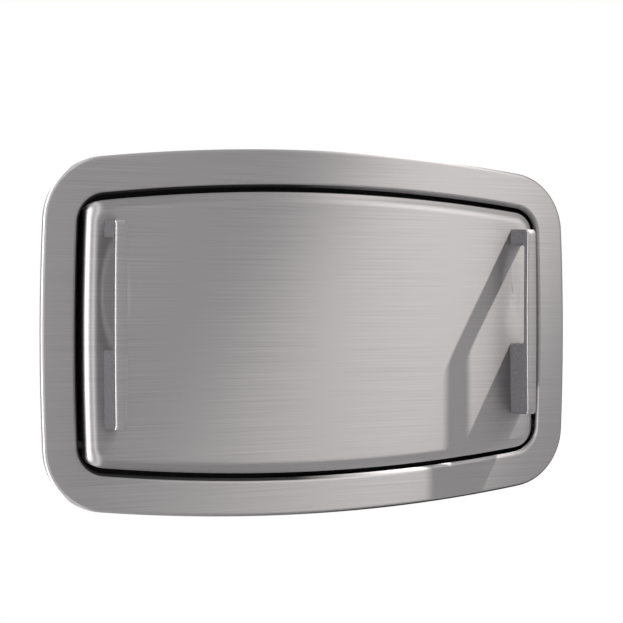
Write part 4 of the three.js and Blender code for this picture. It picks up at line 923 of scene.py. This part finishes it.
for label in ("left", "right"):
    eased(f"wall_plate_{label}", f"side_plate_{label}", "wall_unit", ZINC, 0.4)
    eased(f"hinge_lever_{label}", f"lever_arm_{label}", "bed", ZINC, 0.4)
    eased(f"bed_rail_{label}", f"rail_strip_{label}", "bed", ZINC, 0.4)
for label in ("lower", "upper"):
    eased(f"damper_clamp_{label}", f"saddle_{label}", "wall_unit", ZINC, 0.5)
eased("damper_yoke", "yoke_plate", "damper_rod", ZINC, 0.4)
eased("liner_bin", "liner_box", "wall_unit", TRAY, 0.8)
eased("liner_lid", "liner_cover", "liner_lid", TRAY, 0.7)
eased("lid_lock", "cam_lock", "lid_lock", GROUND, 0.4)

# %% [markdown]
# ## Safety strap
# Two lengths of webbing meet at the buckle in the middle of the dish and dive through the slots.
# A ribbon is one edge across the strap, extruded step by step along its way. The way is a few
# straight runs with rounded turns, and the UV map counts the metres so that the weave follows it.

# %% Strap halves
STRAP_WIDTH, STRAP_WALL, STRAP_CUTS = 45, 1.5, 7
LYING_Y, BUCKLE_Y, BEHIND_Y, SLOT_TURN = 13.1, 19.3, 2, 4
FALL_STEPS, LIE_STEPS, TURN_STEPS = 8, 4, 5


def strap_way(start, leave, slot_z, way):
    """Middle line of one strap half in (y, z): out of the buckle, down to the floor, into the slot."""
    land, dive = (leave + slot_z) / 2, slot_z - way * SLOT_TURN
    points = [(BUCKLE_Y, start), (BUCKLE_Y, leave)]
    for step in range(1, FALL_STEPS + 1):
        t = step / FALL_STEPS
        ease = t * t * (3 - 2 * t)
        points.append((BUCKLE_Y + (LYING_Y - BUCKLE_Y) * ease, leave + (land - leave) * t))
    points += [(LYING_Y, land + (dive - land) * step / LIE_STEPS) for step in range(1, LIE_STEPS + 1)]
    for step in range(1, TURN_STEPS + 1):
        a = pi / 2 * step / TURN_STEPS
        points.append((LYING_Y - SLOT_TURN * (1 - cos(a)), slot_z - way * SLOT_TURN * (1 - sin(a))))
    return points + [(BEHIND_Y, slot_z)]


def strap_half(label, start, leave, slot_z, way):
    points = strap_way(start, leave, slot_z, way)
    bm = bmesh.new()
    along = bm.verts.layers.float.new("along")
    ends = [bm.verts.new((x, *points[0])) for x in (-STRAP_WIDTH / 2, STRAP_WIDTH / 2)]
    bmesh.ops.subdivide_edges(bm, edges=[bm.edges.new(ends)], cuts=STRAP_CUTS)
    row, length = bm.edges[:], 0
    for here, there in zip(points, points[1:]):
        move = Vector((0, there[0] - here[0], there[1] - here[1]))
        length += move.length
        row = pull_edges(bm, row, move)
        for vert in {v for e in row for v in e.verts}:
            vert[along] = length
        row = [e for e in row if width_of(e) > 1]
    bmesh.ops.recalc_face_normals(bm, faces=bm.faces)
    weave = bm.loops.layers.uv.new("weave")
    for face in bm.faces:
        for loop in face.loops:
            loop[weave].uv = (loop.vert.co.x * MM, loop.vert[along] * MM)
    strap = make_piece(f"strap_web_{label}", bm, "bed", WEBBING, [f"strap_{label}"], 180)
    give_wall(strap, STRAP_WALL, 0)
    print("strap", label, "length", round(length, 1), "mm")


strap_half("lower", -6, -15.8, SLOT_HEIGHTS[0], -1)
strap_half("upper", 62, 71.8, SLOT_HEIGHTS[1], 1)

# %% [markdown]
# ## Buckle
# The buckle is a case with a push button, and a tongue that the upper strap is threaded through.
# All three start as cubes: bevels round them, and an inset pushed inwards makes the button's well.

# %% Buckle, tongue and button
CASE_SIZE, CASE_Z, CASE_ROUND = (58, 14, 58), 16, 4
BUTTON_SIZE, BUTTON_Y, BUTTON_Z, BUTTON_ROUND = (22, 3.8, 22), 25.9, 29.6, 1.6
WELL_PLAY, WELL_DEPTH = 0.3, 7
GRIP_SIZE, GRIP_Z, GRIP_ROUND = (58, 10, 14), 62, 3.5
BLADE_SIZE, BLADE_Z, BLADE_ROUND = (36.6, 3, 20), 48, 0.7


def rounded_block(bm, size, centre, radius, segments=4):
    made = bmesh.ops.create_cube(bm, size=1)["verts"]
    bmesh.ops.scale(bm, verts=made, vec=size)
    bmesh.ops.translate(bm, verts=made, vec=centre)
    round_edges(bm, edges_at(made), radius, segments)


def sink(bm, centre_z, half, depth):
    """An inset on the face that looks at the user, moved to the button's place and pushed in."""
    face = max(bm.faces, key=lambda f: f.calc_area() * (f.normal.y > 0.9))
    size = max(v.co.x for v in face.verts)
    bmesh.ops.inset_region(bm, faces=[face], thickness=size - half, depth=0, use_even_offset=True)
    middle = face.calc_center_median()
    bmesh.ops.translate(bm, verts=face.verts, vec=(0, 0, centre_z - middle.z))
    inner = bmesh.ops.extrude_discrete_faces(bm, faces=[face])["faces"][0]
    bmesh.ops.translate(bm, verts=inner.verts, vec=(0, -depth, 0))


bm = bmesh.new()
rounded_block(bm, CASE_SIZE, (0, BUCKLE_Y, CASE_Z), CASE_ROUND)
sink(bm, BUTTON_Z, BUTTON_SIZE[0] / 2 + WELL_PLAY, WELL_DEPTH)
make_piece("buckle_case", bm, "bed", BUCKLE, ["buckle_body"])

bm = bmesh.new()
rounded_block(bm, BUTTON_SIZE, (0, BUTTON_Y, BUTTON_Z), BUTTON_ROUND)
make_piece("push_button", bm, "buckle_button", BUTTON, ["buckle_button"])

bm = bmesh.new()
rounded_block(bm, GRIP_SIZE, (0, BUCKLE_Y, GRIP_Z), GRIP_ROUND)
rounded_block(bm, BLADE_SIZE, (0, BUCKLE_Y, BLADE_Z), BLADE_ROUND, 2)
make_piece("buckle_tongue_plate", bm, "bed", BUCKLE, ["buckle_tongue"])

# %% [markdown]
# ## Floor, light and camera
# From here on lengths are metres. The floor is a small pale disc under the station. It belongs to
# the stage and not to the object, so it rides on no body.

# %% Floor
FLOOR_RADIUS, FLOOR_Z = 1.4, -0.95

bm = bmesh.new()
bmesh.ops.create_circle(bm, cap_ends=True, segments=96, radius=FLOOR_RADIUS)
bmesh.ops.translate(bm, verts=bm.verts, vec=(0, 0, FLOOR_Z))
floor_mesh = bpy.data.meshes.new("floor")
bm.to_mesh(floor_mesh)
bm.free()
floor_mesh.materials.append(start_finish("pale_floor", (0.8, 0.8, 0.8), 0.6)[0])
floor_disc = bpy.data.objects.new("floor", floor_mesh)
scene.collection.objects.link(floor_disc)
print("floor", FLOOR_Z, "m below the middle of the flange")

# %% [markdown]
# The background is white for what the camera and the metal see, while the object is lit by softer
# grey. The Light Path node tells the two apart.

# %% World
SOFT_GREY = (0.45, 0.45, 0.46, 1)

world = bpy.data.worlds.new("studio")
scene.world = world
world.use_nodes = True
tree = world.node_tree
tree.nodes.clear()
paths = tree.nodes.new("ShaderNodeLightPath")
seen = add_node(tree, "ShaderNodeMath", operation="MAXIMUM")
seen_too = add_node(tree, "ShaderNodeMath", operation="MAXIMUM")
tree.links.new(paths.outputs["Is Camera Ray"], seen.inputs[0])
tree.links.new(paths.outputs["Is Glossy Ray"], seen.inputs[1])
tree.links.new(seen.outputs["Value"], seen_too.inputs[0])
tree.links.new(paths.outputs["Is Transmission Ray"], seen_too.inputs[1])
soft = tree.nodes.new("ShaderNodeBackground")
soft.inputs["Color"].default_value = SOFT_GREY
white = tree.nodes.new("ShaderNodeBackground")
white.inputs["Color"].default_value = (1, 1, 1, 1)
mix = tree.nodes.new("ShaderNodeMixShader")
output = tree.nodes.new("ShaderNodeOutputWorld")
tree.links.new(seen_too.outputs["Value"], mix.inputs["Fac"])
tree.links.new(soft.outputs["Background"], mix.inputs[1])
tree.links.new(white.outputs["Background"], mix.inputs[2])
tree.links.new(mix.outputs["Shader"], output.inputs["Surface"])
print("world: white to the camera and to metal, grey as light")

# %% [markdown]
# One small lamp high on the right gives the crisp shadow of the right handle on the steel. The bed's
# face itself casts no shadow of that lamp, so that the flange's roll below it stays bright. A wide
# panel on the left is mirrored as a line of light on the round edges, and a strip behind the camera
# adds a second, softer line beside it. The fill lifts the plastic and isn't mirrored.

# %% Lamps
KEY_PLACE, KEY_TARGET, KEY_CONE = (4.238, -1.507, 6.962), (0.06, 0, -0.15), radians(4.9)
PANEL_PLACE, STRIP_PLACE, FILL_PLACE = (-2.42, -0.36, 0), (-1.20, -2.48, 0), (-0.6, -3.6, 1.6)
LEFT_EDGE, FLANGE_MIDDLE = (-0.43, 0, 0), (0, 0, 0)


def lamp(name, kind, place, target, power, **settings):
    data = bpy.data.lights.new(name, kind)
    data.energy = power
    for setting, value in settings.items():
        setattr(data, setting, value)
    holder = bpy.data.objects.new(name, data)
    holder.visible_camera = False
    scene.collection.objects.link(holder)
    holder.location = place
    holder.rotation_euler = (Vector(target) - Vector(place)).to_track_quat("-Z", "Y").to_euler()
    return holder


def panel(name, place, target, power, width, height):
    return lamp(name, "AREA", place, target, power, shape="RECTANGLE", size=width, size_y=height)


key = lamp("key", "SPOT", KEY_PLACE, KEY_TARGET, 2300, spot_size=KEY_CONE, spot_blend=0.9,
           shadow_soft_size=0.09, color=(1, 0.97, 0.92))
no_shadow = bpy.data.collections.new("no_key_shadow")
no_shadow.objects.link(skin)
no_shadow.collection_objects[0].light_linking.link_state = "EXCLUDE"
key.light_linking.blocker_collection = no_shadow
panel("left_panel", PANEL_PLACE, LEFT_EDGE, 110, 1.6, 2.2).visible_diffuse = False
panel("rear_strip", STRIP_PLACE, LEFT_EDGE, 26, 0.5, 2.2).visible_diffuse = False
panel("front_fill", FILL_PLACE, FLANGE_MIDDLE, 60, 2.0, 1.5).visible_glossy = False

# %% [markdown]
# The camera stands to the left and looks level along +Y, turned to the right, so upright edges stay
# upright. The lens is given as a focal length in pixels of the picture, and the shifts move the
# station to its place in the picture.

# %% Camera
PICTURE_WIDTH, FOCAL_LENGTH, CAMERA_TURN = 623, 1470, 25.5
SENSOR, SHIFT_ACROSS, SHIFT_UP = 36, -0.0207, -0.0217
CAMERA_PLACE = (-1.082, -2.276, 0.058)

view = bpy.data.cameras.new("view")
view.sensor_width = SENSOR
view.lens = FOCAL_LENGTH / PICTURE_WIDTH * SENSOR
view.shift_x = SHIFT_ACROSS
view.shift_y = SHIFT_UP
camera = bpy.data.objects.new("view", view)
scene.collection.objects.link(camera)
camera.location = CAMERA_PLACE
camera.rotation_euler = (pi / 2, 0, -radians(CAMERA_TURN))
scene.camera = camera
print("lens", round(view.lens, 1), "mm")
